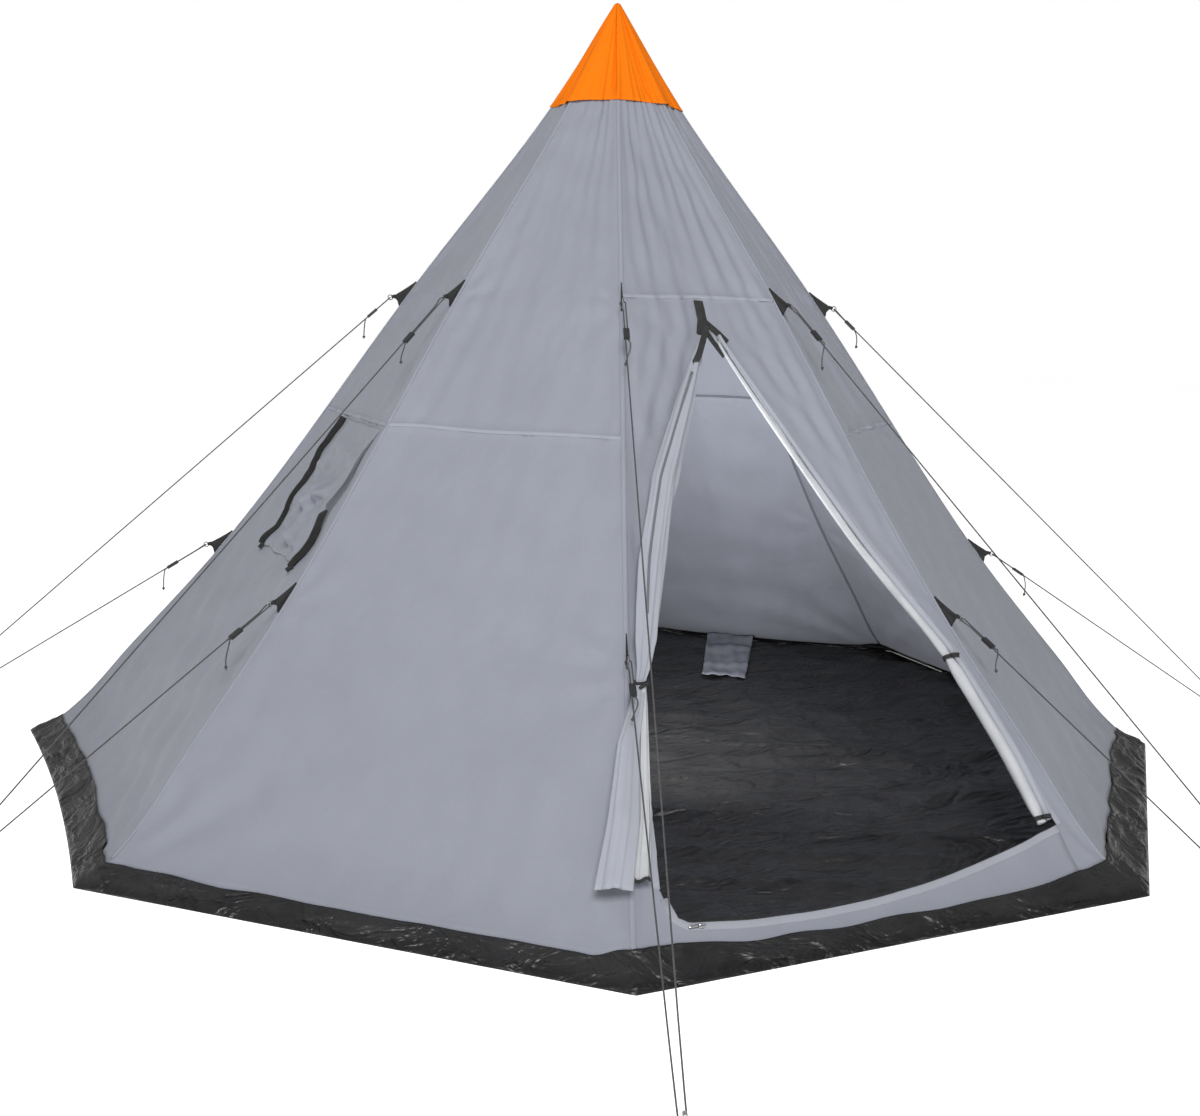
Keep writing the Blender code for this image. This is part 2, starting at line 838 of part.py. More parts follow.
def flap_hinge():
    """The middle of the flap's top edge, and the flap's direction down the wall."""
    outward, along = wall_axes(WINDOW_SIDE)
    reaches = []
    for z in (FLAP_HIGH, FLAP_LOW):
        edges = (WINDOW_CENTRE - FLAP_HALF_WIDTH, WINDOW_CENTRE + FLAP_HALF_WIDTH)
        depths = [wall_point(WINDOW_SIDE, x / half_width(z), z).dot(outward) for x in edges]
        reaches.append(max(depths) + FLAP_LIFT)
    top = outward * reaches[0] + along * WINDOW_CENTRE + Vector((0, 0, FLAP_HIGH))
    bottom = outward * reaches[1] + along * WINDOW_CENTRE + Vector((0, 0, FLAP_LOW))
    return top, bottom, along


def make_window_flap(material, collection):
    top, bottom, along = flap_hinge()
    length = (bottom - top).length
    pivot = bpy.data.objects.new("pivot_window_flap", None)
    collection.objects.link(pivot)
    down = (bottom - top).normalized()
    matrix = Matrix((down, along, down.cross(along))).transposed().to_4x4()
    matrix.translation = top
    pivot.matrix_world = matrix
    size = (length, 2 * FLAP_HALF_WIDTH, FLAP_THICKNESS)
    flap = finish_object("window_flap", box_mesh("window_flap", size), material, collection)
    flap.data.transform(Matrix.Translation((length / 2, 0, 0)))
    flap.parent = pivot


def slider_matrix(x):
    """The zip slider's placement on the sill's zip, X along the zip."""
    _, up, normal = sill_plane()
    turn = math.asin((x - SILL_LOW_X) / (SILL_RADIUS + ZIP_BELOW_EDGE))
    along = Vector((1, 0, 0)) * math.cos(turn) + up * math.sin(turn)
    return frame_matrix(sill_point(x, ZIP_BELOW_EDGE), along, normal)


def make_zip_slider(material, collection):
    body = finish_object(
        "zip_slider", box_mesh("zip_slider", (0.016, 0.010, 0.005), 0.001), material, collection
    )
    body.data.transform(Matrix.Translation((0, 0, 0.0065)))
    low, up, _ = sill_plane()
    pivot = bpy.data.objects.new("pivot_zip_slider", None)
    collection.objects.link(pivot)
    pivot.matrix_world = Matrix.Translation(low + up * SILL_RADIUS)
    body.parent = pivot
    body.matrix_local = pivot.matrix_world.inverted() @ slider_matrix(ZIP_START)


def build():
    clear_scene()
    tent = make_collection("teepee_tent")
    helpers = make_collection("cutters")
    grey = make_material("grey_polyester", GREY, 0.75)
    orange = make_material("orange_polyester", ORANGE, 0.7)
    black_sheet = make_material("black_polyethylene", BLACK, 0.4)
    webbing = make_material("black_webbing", BLACK, 0.8)
    net = make_material("white_net", WHITE, 0.8)
    steel = make_material("pole_steel", STEEL, 0.35, 1.0)
    peg_steel = make_material("peg_steel", STEEL, 0.4, 1.0)
    plastic = make_material("runner_plastic", BLACK, 0.5)
    cord = make_material("guy_cord", (0.25, 0.25, 0.26), 0.8)
    rubber = make_material("foot_rubber", BLACK, 0.85)

    walls = [make_wall(side, grey, tent) for side in range(SIDES)]
    cut_door(walls[0], helpers, grey)
    cut_window(walls[WINDOW_SIDE], helpers, grey)
    make_cap(orange, tent)
    make_groundsheet(black_sheet, tent)
    make_pole(steel, rubber, tent)
    make_left_leaf(grey, tent)
    make_right_leaf(net, tent)
    make_window_net(net, tent)
    make_window_flap(grey, tent)
    make_zip_slider(steel, tent)
    runner_mesh = make_runner_mesh(plastic, helpers)
    for corner in range(SIDES):
        make_ridge(corner, webbing, tent, helpers)
        make_peg(corner, peg_steel, tent)
        name = "guy_line_" + CORNER_NAMES[corner]
        tube(name, line_points(corner), CORD_RADIUS, cord, tent)
        for level in LEVELS:
            make_runner(corner, level, runner_mesh, plastic, tent)
    bpy.context.view_layer.update()


build()
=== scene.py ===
"""Looks of the eight-sided teepee tent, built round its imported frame.

Metres, +Z up. The origin is on the ground under the pole and the door faces -Y. Walls and
corners are numbered anticlockwise from above: wall 0 is the door wall, between corners 0 and 1.
"""

import math

import bmesh
import bpy
import numpy as np
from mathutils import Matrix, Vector


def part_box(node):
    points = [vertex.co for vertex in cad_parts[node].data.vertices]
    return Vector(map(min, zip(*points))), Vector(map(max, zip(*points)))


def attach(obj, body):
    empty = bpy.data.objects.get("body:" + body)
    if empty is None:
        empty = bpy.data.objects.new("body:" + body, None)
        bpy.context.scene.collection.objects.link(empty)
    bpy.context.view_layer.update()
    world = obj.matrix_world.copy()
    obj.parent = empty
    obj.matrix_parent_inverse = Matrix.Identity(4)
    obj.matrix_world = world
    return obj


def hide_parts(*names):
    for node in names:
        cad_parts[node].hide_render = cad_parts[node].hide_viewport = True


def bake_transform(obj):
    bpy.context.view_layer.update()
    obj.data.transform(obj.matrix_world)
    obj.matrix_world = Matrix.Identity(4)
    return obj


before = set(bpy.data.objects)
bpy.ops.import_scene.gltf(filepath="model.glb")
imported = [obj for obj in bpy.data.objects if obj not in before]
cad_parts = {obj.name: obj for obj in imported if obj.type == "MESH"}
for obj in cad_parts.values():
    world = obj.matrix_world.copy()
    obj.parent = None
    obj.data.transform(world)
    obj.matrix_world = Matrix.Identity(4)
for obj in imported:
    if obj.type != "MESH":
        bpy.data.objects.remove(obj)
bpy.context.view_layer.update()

# ---- The tent's outline, as in its CAD ----

SIDES = 8
HALF_ANGLE = math.pi / SIDES
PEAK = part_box("peak_cap")[1].z
# Heights of points on a ridge, with the ridge's distance from the pole there
RIDGE_PROFILE = np.array(
    (
        (0.0, 1.975), (0.058, 1.864), (0.32, 1.620), (0.70, 1.287),
        (1.565, 0.657), (2.148, 0.212), (PEAK, 0.0),
    )
)
# How far each ridge stands out at mid-height, and each wall's hem bows in between its corners
RIDGE_PULLS = (0.0, 0.0, 0.020, 0.0, 0.0, 0.0, -0.010, 0.0)
WALL_SAG = 0.020
HEM_BOW_HEIGHT = 0.70
HEM_BOWS = (0.0, 0.0, 0.03, 0.09, 0.06, 0.05, 0.025, 0.0)
WALLS = (
    "front_door", "front_right", "right", "rear_right",
    "rear", "rear_left", "left_window", "front_left",
)
CORNERS = (
    "front_left", "front_right", "right_front", "right_rear",
    "rear_right", "rear_left", "left_rear", "left_front",
)
WALL_BOTTOM = 0.0525
WALL_TOP = 2.165
BAND_TOP = 0.058
# The doorway's peak height, and half its width and the height at its knee and at its foot
DOOR_PEAK = 1.44
DOOR_KNEE = (0.495, 0.56)
DOOR_FOOT = (0.605, 0.150)
# The sill is an arc from its lowest point, with a rounded corner at its left end
SILL_LOW = (-0.20, 0.066)
SILL_RADIUS = 2.8
SILL_SLOPE = 0.711
SILL_LEFT_CORNER = ((-0.605, 0.150), (-0.590, 0.098), (-0.555, 0.081))
WINDOW_SIDE = 6
WINDOW_X = (-0.09, 0.29)
WINDOW_Z = (0.80, 1.085)
LEVELS = ("upper", "lower")
# Thicknesses of the cloth, of the rolled leaf's cloth and of the nets
CLOTH = 0.0008
ROLLED_CLOTH = 0.0007
NET = 0.0005
UP = np.array((0, 0, 1.0))


def smooth(t):
    t = np.clip(t, 0, 1)
    return t * t * (3 - 2 * t)


def ridge_radius(z):
    """Distance of a ridge from the pole at height z, on a smooth curve through the profile."""
    heights, radii = RIDGE_PROFILE.T
    gaps = np.diff(radii) / np.diff(heights)
    inner = 2 * gaps[:-1] * gaps[1:] / (gaps[:-1] + gaps[1:])
    slopes = np.concatenate([gaps[:1], inner, gaps[-1:]])
    i = np.clip(np.searchsorted(heights, z) - 1, 0, len(gaps) - 1)
    span = heights[i + 1] - heights[i]
    t = (z - heights[i]) / span
    return (
        (2 * t**3 - 3 * t**2 + 1) * radii[i]
        + (t**3 - 2 * t**2 + t) * span * slopes[i]
        + (3 * t**2 - 2 * t**3) * radii[i + 1]
        + (t**3 - t**2) * span * slopes[i + 1]
    )


def half_width(z):
    return ridge_radius(z) * math.sin(HALF_ANGLE)


TABLE_Z = np.linspace(0, PEAK, 400)
TABLE_R = ridge_radius(TABLE_Z) * math.cos(HALF_ANGLE)
TABLE_UP = np.concatenate([[0], np.cumsum(np.hypot(np.diff(TABLE_Z), np.diff(TABLE_R)))])


def slope_length(z):
    """Distance from the ground up a wall's middle."""
    return np.interp(z, TABLE_Z, TABLE_UP)


def corner_angle(corner):
    return -math.pi / 2 + (2 * corner - 1) * HALF_ANGLE


def level(angle):
    return np.array((math.cos(angle), math.sin(angle), 0.0))


def wall_axes(side):
    """The wall's outward direction, and its level direction from its first corner to its second."""
    angle = -math.pi / 2 + 2 * side * HALF_ANGLE
    return level(angle), level(angle + math.pi / 2)


def ridge_point(corner, z, lift=0.0):
    z = np.asarray(z, float)
    pull = RIDGE_PULLS[corner % SIDES] * np.sin(math.pi * z / PEAK)
    radius = ridge_radius(z) + pull + lift
    return radius[..., None] * level(corner_angle(corner)) + z[..., None] * UP


def wall_bow(side, z):
    hem = HEM_BOWS[side] * np.clip(1 - z / HEM_BOW_HEIGHT, 0, 1) ** 2
    return WALL_SAG * np.sin(math.pi * z / PEAK) + hem


def wall_point(side, s, z, lift=0.0):
    """Points on a wall's outer face: s runs from -1 on its first ridge to 1 on its second."""
    s, z, lift = np.broadcast_arrays(np.asarray(s, float), z, lift)
    outward, _ = wall_axes(side)
    share = ((s + 1) / 2)[..., None]
    start, end = ridge_point(side, z), ridge_point((side + 1) % SIDES, z)
    depth = lift - wall_bow(side, z) * (1 - s * s)
    return start * (1 - share) + end * share + outward * depth[..., None]


# ---- Uneven cloth ----


def ripple(u, v, spacing, seed, waves=6):
    """A smooth uneven field, mostly from -1 to 1, whose waves are about that far apart."""
    rng = np.random.default_rng(seed)
    total = np.zeros(np.broadcast(u, v).shape)
    for _ in range(waves):
        turn, phase = rng.uniform(0, math.tau, 2)
        scale = math.tau / spacing * rng.uniform(0.7, 1.4)
        total = total + np.sin(scale * (u * math.cos(turn) + v * math.sin(turn)) + phase)
    return total / math.sqrt(waves)


def creases(u, v, spacing, seed, width=0.35):
    """Sharp winding ridges, from 0 between them to 1 on their crests."""
    bent = u + 0.25 * spacing * ripple(u, v, 2 * spacing, seed + 1)
    return np.exp(-np.abs(ripple(bent, v, spacing, seed)) / width)


# ---- Meshes ----


def grid_faces(rows, columns, closed=False, keep=None):
    i = np.arange(rows - 1)[:, None]
    j = np.arange(columns if closed else columns - 1)[None, :]
    k = (j + 1) % columns
    this, after = i * columns, (i + 1) * columns
    quads = np.stack([this + j, this + k, after + k, after + j], -1)
    return (quads if keep is None else quads[keep]).reshape(-1, 4)


def link(name, data):
    obj = bpy.data.objects.new(name, data)
    bpy.context.scene.collection.objects.link(obj)
    return obj


def add_mesh(name, patches, material, weld=0.0):
    """One mesh object from patches, each (points, faces, uv or None). UV is in metres."""
    points, faces, uvs, start = [], [], [], 0
    for patch_points, patch_faces, uv in patches:
        flat = patch_points.reshape(-1, 3)
        points.append(flat)
        faces += [tuple(int(n) + start for n in face) for face in patch_faces]
        uvs.append(np.zeros((len(flat), 2)) if uv is None else uv.reshape(-1, 2))
        start += len(flat)
    mesh = bpy.data.meshes.new(name)
    mesh.from_pydata(np.concatenate(points).tolist(), [], faces)
    layer = mesh.uv_layers.new(name="cloth")
    corners = np.zeros(len(mesh.loops), np.int32)
    mesh.loops.foreach_get("vertex_index", corners)
    layer.data.foreach_set("uv", np.concatenate(uvs)[corners].astype(np.float32).ravel())
    if weld:
        bm = bmesh.new()
        bm.from_mesh(mesh)
        bmesh.ops.remove_doubles(bm, verts=bm.verts, dist=weld)
        bm.to_mesh(mesh)
        bm.free()
    mesh.shade_smooth()
    mesh.materials.append(material)
    obj = link(name, mesh)
    return obj


def grid_uv(points):
    """UV in metres along a grid's rows and columns."""

    def run(axis):
        steps = np.linalg.norm(np.diff(points, axis=axis), axis=2)
        return np.pad(steps, [(int(axis == k), 0) for k in (0, 1)]).cumsum(axis)

    return np.stack([run(1), run(0)], -1)


def grid_patch(points, closed=False, keep=None, uv=None):
    faces = grid_faces(points.shape[0], points.shape[1], closed, keep)
    return points, faces, grid_uv(points) if uv is None else uv


def loft_patch(points):
    """A solid through closed rings of points, with flat ends."""
    rows, columns = points.shape[:2]
    faces = [tuple(face) for face in grid_faces(rows, columns, closed=True)]
    faces.append(tuple(range(columns))[::-1])
    faces.append(tuple((rows - 1) * columns + j for j in range(columns)))
    return points, faces, grid_uv(points)


def thicken(obj, thickness, offset=-1.0):
    modifier = obj.modifiers.new("Thickness", "SOLIDIFY")
    modifier.thickness = thickness
    modifier.offset = offset
    return obj


def unit(vectors):
    return vectors / np.maximum(np.linalg.norm(vectors, axis=-1, keepdims=True), 1e-9)


def along_path(path):
    """Unit directions along a row of points."""
    return unit(np.gradient(path, axis=0))


def swept(path, across, up, section):
    """Rings of a section, given as (across, up) pairs or one set of pairs a point, along a path."""
    section = np.broadcast_to(section, (len(path), *np.shape(section)[-2:]))
    return path[:, None] + across[:, None] * section[..., :1] + up[:, None] * section[..., 1:]


def strap_section(width, thickness):
    """A flat strap's section, with slightly rounded edges, lying on its own zero."""
    half, lip, shoulder = width / 2, min(thickness, width / 6), 0.6 * thickness
    top = ((half - lip, thickness), (lip - half, thickness))
    return np.array(((-half, 0), (half, 0), (half, shoulder), *top, (-half, shoulder)))


def strap(path, up, width, thickness):
    """A strap along a path that lies on a surface whose outward directions are up."""
    along = along_path(path)
    across = unit(np.cross(along, up))
    section = strap_section(width, thickness)
    return loft_patch(swept(path, across, unit(np.cross(across, along)), section))


def round_section(radius, steps=10):
    turns = np.arange(steps) * math.tau / steps
    return radius * np.stack([np.cos(turns), np.sin(turns)], -1)


def closed_tube(path, across, up, radius, steps=8):
    """A tube along a path that closes on itself."""
    rings = swept(path, across, up, round_section(radius, steps))
    faces = grid_faces(len(path) + 1, steps, closed=True) % (len(path) * steps)
    return rings, faces, None


def tube_patch(path, radius, steps=10, hint=(0.0, 0.0, 1.0)):
    along = along_path(path)
    across = unit(np.cross(along, np.broadcast_to(hint, path.shape)))
    radii = np.broadcast_to(radius, len(path))
    sections = np.stack([round_section(r, steps) for r in radii])
    return loft_patch(swept(path, across, np.cross(across, along), sections))


# ---- Materials ----


class Nodes:
    """Short names for a material's nodes."""

    def __init__(self, name, colour, roughness, metallic=0.0):
        self.material = bpy.data.materials.new(name)
        self.material.use_nodes = True
        self.tree = self.material.node_tree
        self.shader = self.tree.nodes["Principled BSDF"]
        self.shader.inputs["Base Color"].default_value = (*colour, 1)
        self.shader.inputs["Roughness"].default_value = roughness
        self.shader.inputs["Metallic"].default_value = metallic
        self.colour = colour

    def add(self, kind, settings=None, **inputs):
        node = self.tree.nodes.new(kind)
        for name, value in (settings or {}).items():
            setattr(node, name, value)
        for name, value in inputs.items():
            self.put(node, name.replace("_", " "), value)
        return node

    def put(self, node, name, value):
        socket = node.inputs[int(name)] if name.isdigit() else node.inputs[name]
        if isinstance(value, bpy.types.NodeSocket):
            self.tree.links.new(value, socket)
        else:
            socket.default_value = value

    def math(self, operation, a, b=0.0):
        node = self.add("ShaderNodeMath", {"operation": operation})
        self.put(node, "0", a)
        self.put(node, "1", b)
        return node.outputs[0]

    def coords(self, scale=(1, 1, 1), uv=False):
        if uv:
            source = self.add("ShaderNodeUVMap", {"uv_map": "cloth"})
        else:
            source = self.add("ShaderNodeTexCoord")
        mapping = self.add("ShaderNodeMapping")
        self.put(mapping, "Vector", source.outputs["UV" if uv else "Object"])
        self.put(mapping, "Scale", scale)
        return mapping.outputs[0]

    def noise(self, vector, scale, detail=3.0, rough=0.5, distortion=0.0):
        inputs = {"Scale": scale, "Detail": detail, "Roughness": rough, "Distortion": distortion}
        return self.add("ShaderNodeTexNoise", Vector=vector, **inputs).outputs["Fac"]

    def wave(self, vector, spacing, direction, profile="SIN"):
        settings = {"wave_type": "BANDS", "bands_direction": direction, "wave_profile": profile}
        # A wave texture of scale 1 repeats every pi / 10 metres
        scale = math.pi / 10 / spacing
        return self.add("ShaderNodeTexWave", settings, Vector=vector, Scale=scale).outputs["Fac"]

    def vary(self, factor, low, high):
        """Colours the surface by a 0 to 1 factor, from low to high times its own colour."""
        node = self.add("ShaderNodeValToRGB", Fac=factor)
        elements = node.color_ramp.elements
        elements.new(0.5)
        for element, place, share in zip(elements, (0.25, 0.5, 0.75), (low, 1.0, high)):
            element.position = place
            element.color = (*(min(1.0, c * share) for c in self.colour), 1)
        self.put(self.shader, "Base Color", node.outputs["Color"])

    def bump(self, *layers):
        """Stacks bumps, each (height socket, depth in metres, strength)."""
        normal = None
        for height, depth, strength in layers:
            node = self.add("ShaderNodeBump", Strength=strength, Distance=depth, Height=height)
            if normal is not None:
                self.put(node, "Normal", normal)
            normal = node.outputs["Normal"]
        self.put(self.shader, "Normal", normal)


THREAD_PITCH = 0.0012
TAPE_PITCH = 0.0025
MESH_PITCH = 0.0016


def woven(name, colour, roughness, crumple, sheen=0.0, low=0.93, high=1.05, specular=0.3):
    """Plain-weave cloth: fine threads, soft creases, a slightly uneven colour and painted shade
    that follows its folds.
    """
    n = Nodes(name, colour, roughness)
    flat = n.coords(uv=True)
    place = n.coords()
    threads = n.math("ADD", n.wave(flat, THREAD_PITCH, "X"), n.wave(flat, THREAD_PITCH, "Y"))
    soft = n.noise(place, 7.0, 5.0, 0.6, 0.4)
    long_folds = n.noise(n.coords((9.0, 9.0, 1.6)), 1.0, 3.0, 0.5)
    broad = n.math("MULTIPLY", n.noise(place, 1.7, 4.0, 0.55), 0.45)
    # Painted shade: the colour follows the fold and crease bumps, darker in their hollows, over a
    # random uneven tone (broad)
    streaks = n.math("ADD", n.math("MULTIPLY", soft, 0.2), n.math("MULTIPLY", long_folds, 0.35))
    n.vary(n.math("ADD", broad, streaks), low, high)
    fine = n.noise(place, 24.0, 3.0, 0.6, 0.8)
    n.bump(
        (long_folds, crumple * 2, 0.35),
        (soft, crumple, 0.6),
        (fine, crumple * 0.3, 0.35),
        (threads, 0.0002, 0.25),
    )
    n.shader.inputs["Sheen Weight"].default_value = sheen
    n.shader.inputs["Specular IOR Level"].default_value = specular
    return n.material


# How high the painted shade at the sheet's foot reaches
PAINTED_SHADE_HEIGHT = 0.024


def sheeting(name, colour, roughness, crumple, stretch, painted_foot_shade=0.0):
    """Coated polyethylene sheet: crisp crumples with a soft gloss over a flat-tape weave.

    Its creases run along the axis that stretch scales least. Painted shade darkens its lowest part,
    in place of the shadow at its foot.
    """
    n = Nodes(name, colour, roughness)
    place = n.coords()
    flat = n.coords(uv=True)
    long_way = n.coords(stretch)
    crumples = n.noise(long_way, 1.0, 4.0, 0.55, 0.8)
    small = n.noise(place, 17.0, 4.0, 0.6, 1.5)
    creased = n.math("ABSOLUTE", n.math("SUBTRACT", n.noise(long_way, 1.4, 3.0, 0.55, 1.0), 0.5))
    tapes = n.math("ADD", n.wave(flat, TAPE_PITCH, "X"), n.wave(flat, TAPE_PITCH, "Y"))
    shade = n.noise(place, 5.0, 5.0, 0.6)
    # Painted shade: the colour darkens towards the sheet's foot, standing in for the shadow there
    if painted_foot_shade:
        height = n.add("ShaderNodeSeparateXYZ", Vector=place).outputs["Z"]
        painted_shadow = n.math("SUBTRACT", painted_foot_shade, n.math("MULTIPLY", height, painted_foot_shade / PAINTED_SHADE_HEIGHT))
        shade = n.math("SUBTRACT", shade, n.math("MAXIMUM", painted_shadow, 0.0))
    n.vary(shade, 0.35 if painted_foot_shade else 0.7, 1.35)
    n.shader.inputs["Specular IOR Level"].default_value = 0.5
    n.bump(
        (crumples, crumple, 0.9),
        (creased, crumple * 1.4, 0.9),
        (small, crumple * 0.10, 0.5),
        (tapes, 0.0001, 0.15),
    )
    n.put(n.shader, "Roughness", n.math("ADD", n.math("MULTIPLY", small, 0.2), roughness - 0.08))
    return n.material


def netting(name, colour):
    """Fine insect mesh: bright threads round small dark holes."""
    n = Nodes(name, colour, 0.85)
    flat = n.coords(uv=True)
    threads = n.math("MAXIMUM", n.wave(flat, MESH_PITCH, "X"), n.wave(flat, MESH_PITCH, "Y"))
    soft = n.noise(n.coords(), 12.0, 4.0, 0.6)
    shade = n.math("ADD", n.math("MULTIPLY", threads, 0.35), n.math("MULTIPLY", soft, 0.5))
    n.vary(shade, 0.72, 1.12)
    n.bump((soft, 0.003, 0.5), (threads, 0.0003, 0.3))
    return n.material


def ribbed(name, colour, roughness, pitch):
    """Webbing or braided cord: tight slanting ribs."""
    n = Nodes(name, colour, roughness)
    flat = n.coords(uv=True)
    ribs = n.math("MULTIPLY", n.wave(flat, pitch, "DIAGONAL"), n.wave(flat, pitch, "X"))
    n.vary(n.noise(n.coords(), 60.0), 0.75, 1.3)
    n.bump((ribs, 0.0005, 0.6))
    return n.material


def metal(name, colour, roughness):
    n = Nodes(name, colour, roughness, 1.0)
    place = n.coords((1, 1, 0.15))
    marks = n.noise(place, 180.0, 4.0, 0.6)
    n.vary(n.noise(n.coords(), 9.0, 4.0), 0.85, 1.1)
    n.put(n.shader, "Roughness", n.math("ADD", n.math("MULTIPLY", marks, 0.2), roughness - 0.1))
    n.bump((marks, 0.0002, 0.15))
    return n.material


def moulded(name, colour, roughness):
    n = Nodes(name, colour, roughness)
    fine = n.noise(n.coords(), 900.0)
    n.vary(n.noise(n.coords(), 30.0), 0.85, 1.2)
    n.bump((fine, 0.0002, 0.3))
    return n.material


canopy_cloth = woven("canopy_cloth", (0.230, 0.241, 0.282), 0.72, 0.006, 0.1)
leaf_cloth = woven("leaf_cloth", (0.298, 0.310, 0.352), 0.78, 0.006, 0.1)
seam_cloth = woven("seam_cloth", (0.240, 0.251, 0.292), 0.8, 0.001)
cross_seam_cloth = woven("cross_seam_cloth", (0.275, 0.287, 0.33), 0.8, 0.001)
# A darker grey for the inner seams, the leaf's zip and the flap's hem: its dark tone is painted
# shade along them
painted_shade_cloth = woven("painted_shade_cloth", (0.13, 0.135, 0.155), 0.85, 0.001)
sill_cloth = woven("sill_cloth", (0.285, 0.295, 0.335), 0.75, 0.002, 0.1)
cap_cloth = woven("cap_cloth", (0.72, 0.155, 0.001), 0.75, 0.003, 0.0, 0.86, 1.1, 0.12)
sleeve_cloth = woven("sleeve_cloth", (0.16, 0.167, 0.195), 0.8, 0.004)
# The band's last number is the depth of the painted shade at its foot
band_sheet = sheeting("band_sheet", (0.014, 0.014, 0.0145), 0.37, 0.034, (4.0, 4.0, 10.0), 0.5)
floor_sheet = sheeting("floor_sheet", (0.013, 0.0128, 0.0126), 0.40, 0.055, (1.6, 4.5, 4.5))
white_net = netting("white_net", (0.43, 0.44, 0.46))
black_webbing = ribbed("black_webbing", (0.018, 0.018, 0.018), 0.85, 0.0025)
guy_cord = ribbed("guy_cord", (0.055, 0.055, 0.058), 0.8, 0.003)
pole_coat = metal("pole_coat", (0.55, 0.56, 0.58), 0.34)
peg_metal = metal("peg_metal", (0.60, 0.60, 0.61), 0.3)
ring_plastic = moulded("ring_plastic", (0.20, 0.20, 0.21), 0.45)
runner_plastic = moulded("runner_plastic", (0.02, 0.02, 0.021), 0.45)
foot_rubber = moulded("foot_rubber", (0.02, 0.02, 0.02), 0.8)


# ---- Camera ----


CAMERA_LENS = 43.47
CAMERA_PLACE = (-2.1257, -4.4827, 1.4753)
CAMERA_TURN = (80.477, -1.489, -25.010)


def make_camera():
    data = bpy.data.cameras.new("photo_view")
    data.lens = CAMERA_LENS
    data.sensor_width = 36.0
    data.sensor_fit = "HORIZONTAL"
    data.clip_end = 200.0
    camera = link("photo_view", data)
    camera.location = CAMERA_PLACE
    camera.rotation_euler = [math.radians(a) for a in CAMERA_TURN]
    bpy.context.scene.camera = camera


make_camera()

# ---- Guy lines ----

CORD_RADIUS = 0.002
FIN_LENGTH = 0.102
FIN_REACH = 0.038
UPPER_FIN_TOP = 1.569
LOWER_FIN_TOPS = (0.668, 0.702, 0.735, 0.707, 0.707, 0.707, 0.715, 0.709)
RING_RADIUS = 0.008
RING_WIRE = 0.0016
PEG_LOOP_RADIUS = 0.0082
PEG_LOOP_HEIGHT = 0.021
LEG_BEND = 0.02
BORE_SPACING = 0.008
KNOT_SIZE = 0.001302
# Each peg's distance from the pole and its turn in degrees from the corner's direction
PEG_SPOTS = (
    (2.52, 1.1), (2.50, -4.4), (2.43, 2.0), (2.44, -1.5),
    (2.45, 1.0), (2.44, -2.0), (2.42, 5.8), (2.42, -0.9),
)
# Each corner's upper and lower runner's distance from its ring, and the drop of its tail
RUNNER_SPOTS = (
    (0.13, 0.10), (0.12, 0.10), (0.07, 0.11), (0.12, 0.10),
    (0.10, 0.12), (0.12, 0.10), (0.07, 0.12), (0.17, 0.12),
)
TAIL_DROPS = (
    (0.075, 0.06), (0.09, 0.07), (0.06, 0.08), (0.07, 0.06),
    (0.08, 0.07), (0.06, 0.06), (0.07, 0.08), (0.06, 0.09),
)


def fin_frame(corner, height):
    """The guy patch's tip, and its directions down the ridge, out of it and sideways."""
    top = UPPER_FIN_TOP if height == "upper" else LOWER_FIN_TOPS[corner]
    tip = ridge_point(corner, top, 0.0006)
    down = unit(ridge_point(corner, top - 0.08, 0.0006) - tip)
    outward = level(corner_angle(corner))
    out = unit(outward - down * (outward @ down))
    return tip, down, out, np.cross(down, out)


def ring_centre(corner, height):
    tip, down, out, _ = fin_frame(corner, height)
    point = tip + down * (FIN_LENGTH * 0.92) + out * FIN_REACH
    return point + unit(down + out) * (RING_RADIUS * 0.4)


def peg_frame(corner):
    """The peg's foot, and its directions away from the tent and sideways."""
    distance, turn = PEG_SPOTS[corner]
    foot = distance * level(corner_angle(corner) + math.radians(turn))
    away = foot - ridge_point(corner, LOWER_FIN_TOPS[corner])
    away[2] = 0
    away = unit(away)
    return foot, away, np.cross(UP, away)


def line_frame(corner, height):
    """The line's start at its ring, its direction to the peg and the level direction sideways."""
    centre = ring_centre(corner, height)
    foot = peg_frame(corner)[0]
    down = unit(foot + UP * PEG_LOOP_HEIGHT - centre)
    start = centre + down * (RING_RADIUS + RING_WIRE + 0.001)
    leg = leg_points(corner, height, start)
    down = unit(leg[0] - start)
    return start, down, unit(np.cross(UP, down))


def leg_points(corner, height, start):
    """The last stretch of a line, from where its straight run ends to the peg's side."""
    foot, away, sideways = peg_frame(corner)
    offset = start - foot
    slope = (offset[2] - PEG_LOOP_HEIGHT) / -(offset @ away)
    side_sign = 1 if height == "upper" else -1
    points = []
    for distance in (0.16, 0.10, 0.06, 0.035, 0.018, 0.006):
        rise = (math.hypot(distance, LEG_BEND) + distance) / 2 - LEG_BEND / 2
        local = -away * distance + sideways * (side_sign * PEG_LOOP_RADIUS)
        points.append(foot + local + UP * (PEG_LOOP_HEIGHT + slope * rise))
    return np.array(points)


def ring_turn(start, down, sideways, sign):
    """A quarter turn of cord through the ring, from its far point to one side of the line."""
    middle = start - down * 0.0012
    turns = np.linspace(0, math.pi / 2, 5)
    sway = BORE_SPACING * np.sin(turns)
    back = BORE_SPACING * np.cos(turns)
    return middle + sideways * (sign * sway)[:, None] - down * back[:, None]


def cord_curve(name, points):
    curve = bpy.data.curves.new(name, "CURVE")
    curve.dimensions = "3D"
    curve.bevel_depth = CORD_RADIUS
    curve.bevel_resolution = 3
    curve.use_fill_caps = True
    spline = curve.splines.new("POLY")
    spline.points.add(len(points) - 1)
    for target, point in zip(spline.points, points):
        target.co = (*point, 1)
    curve.materials.append(guy_cord)
    return link(name, curve)


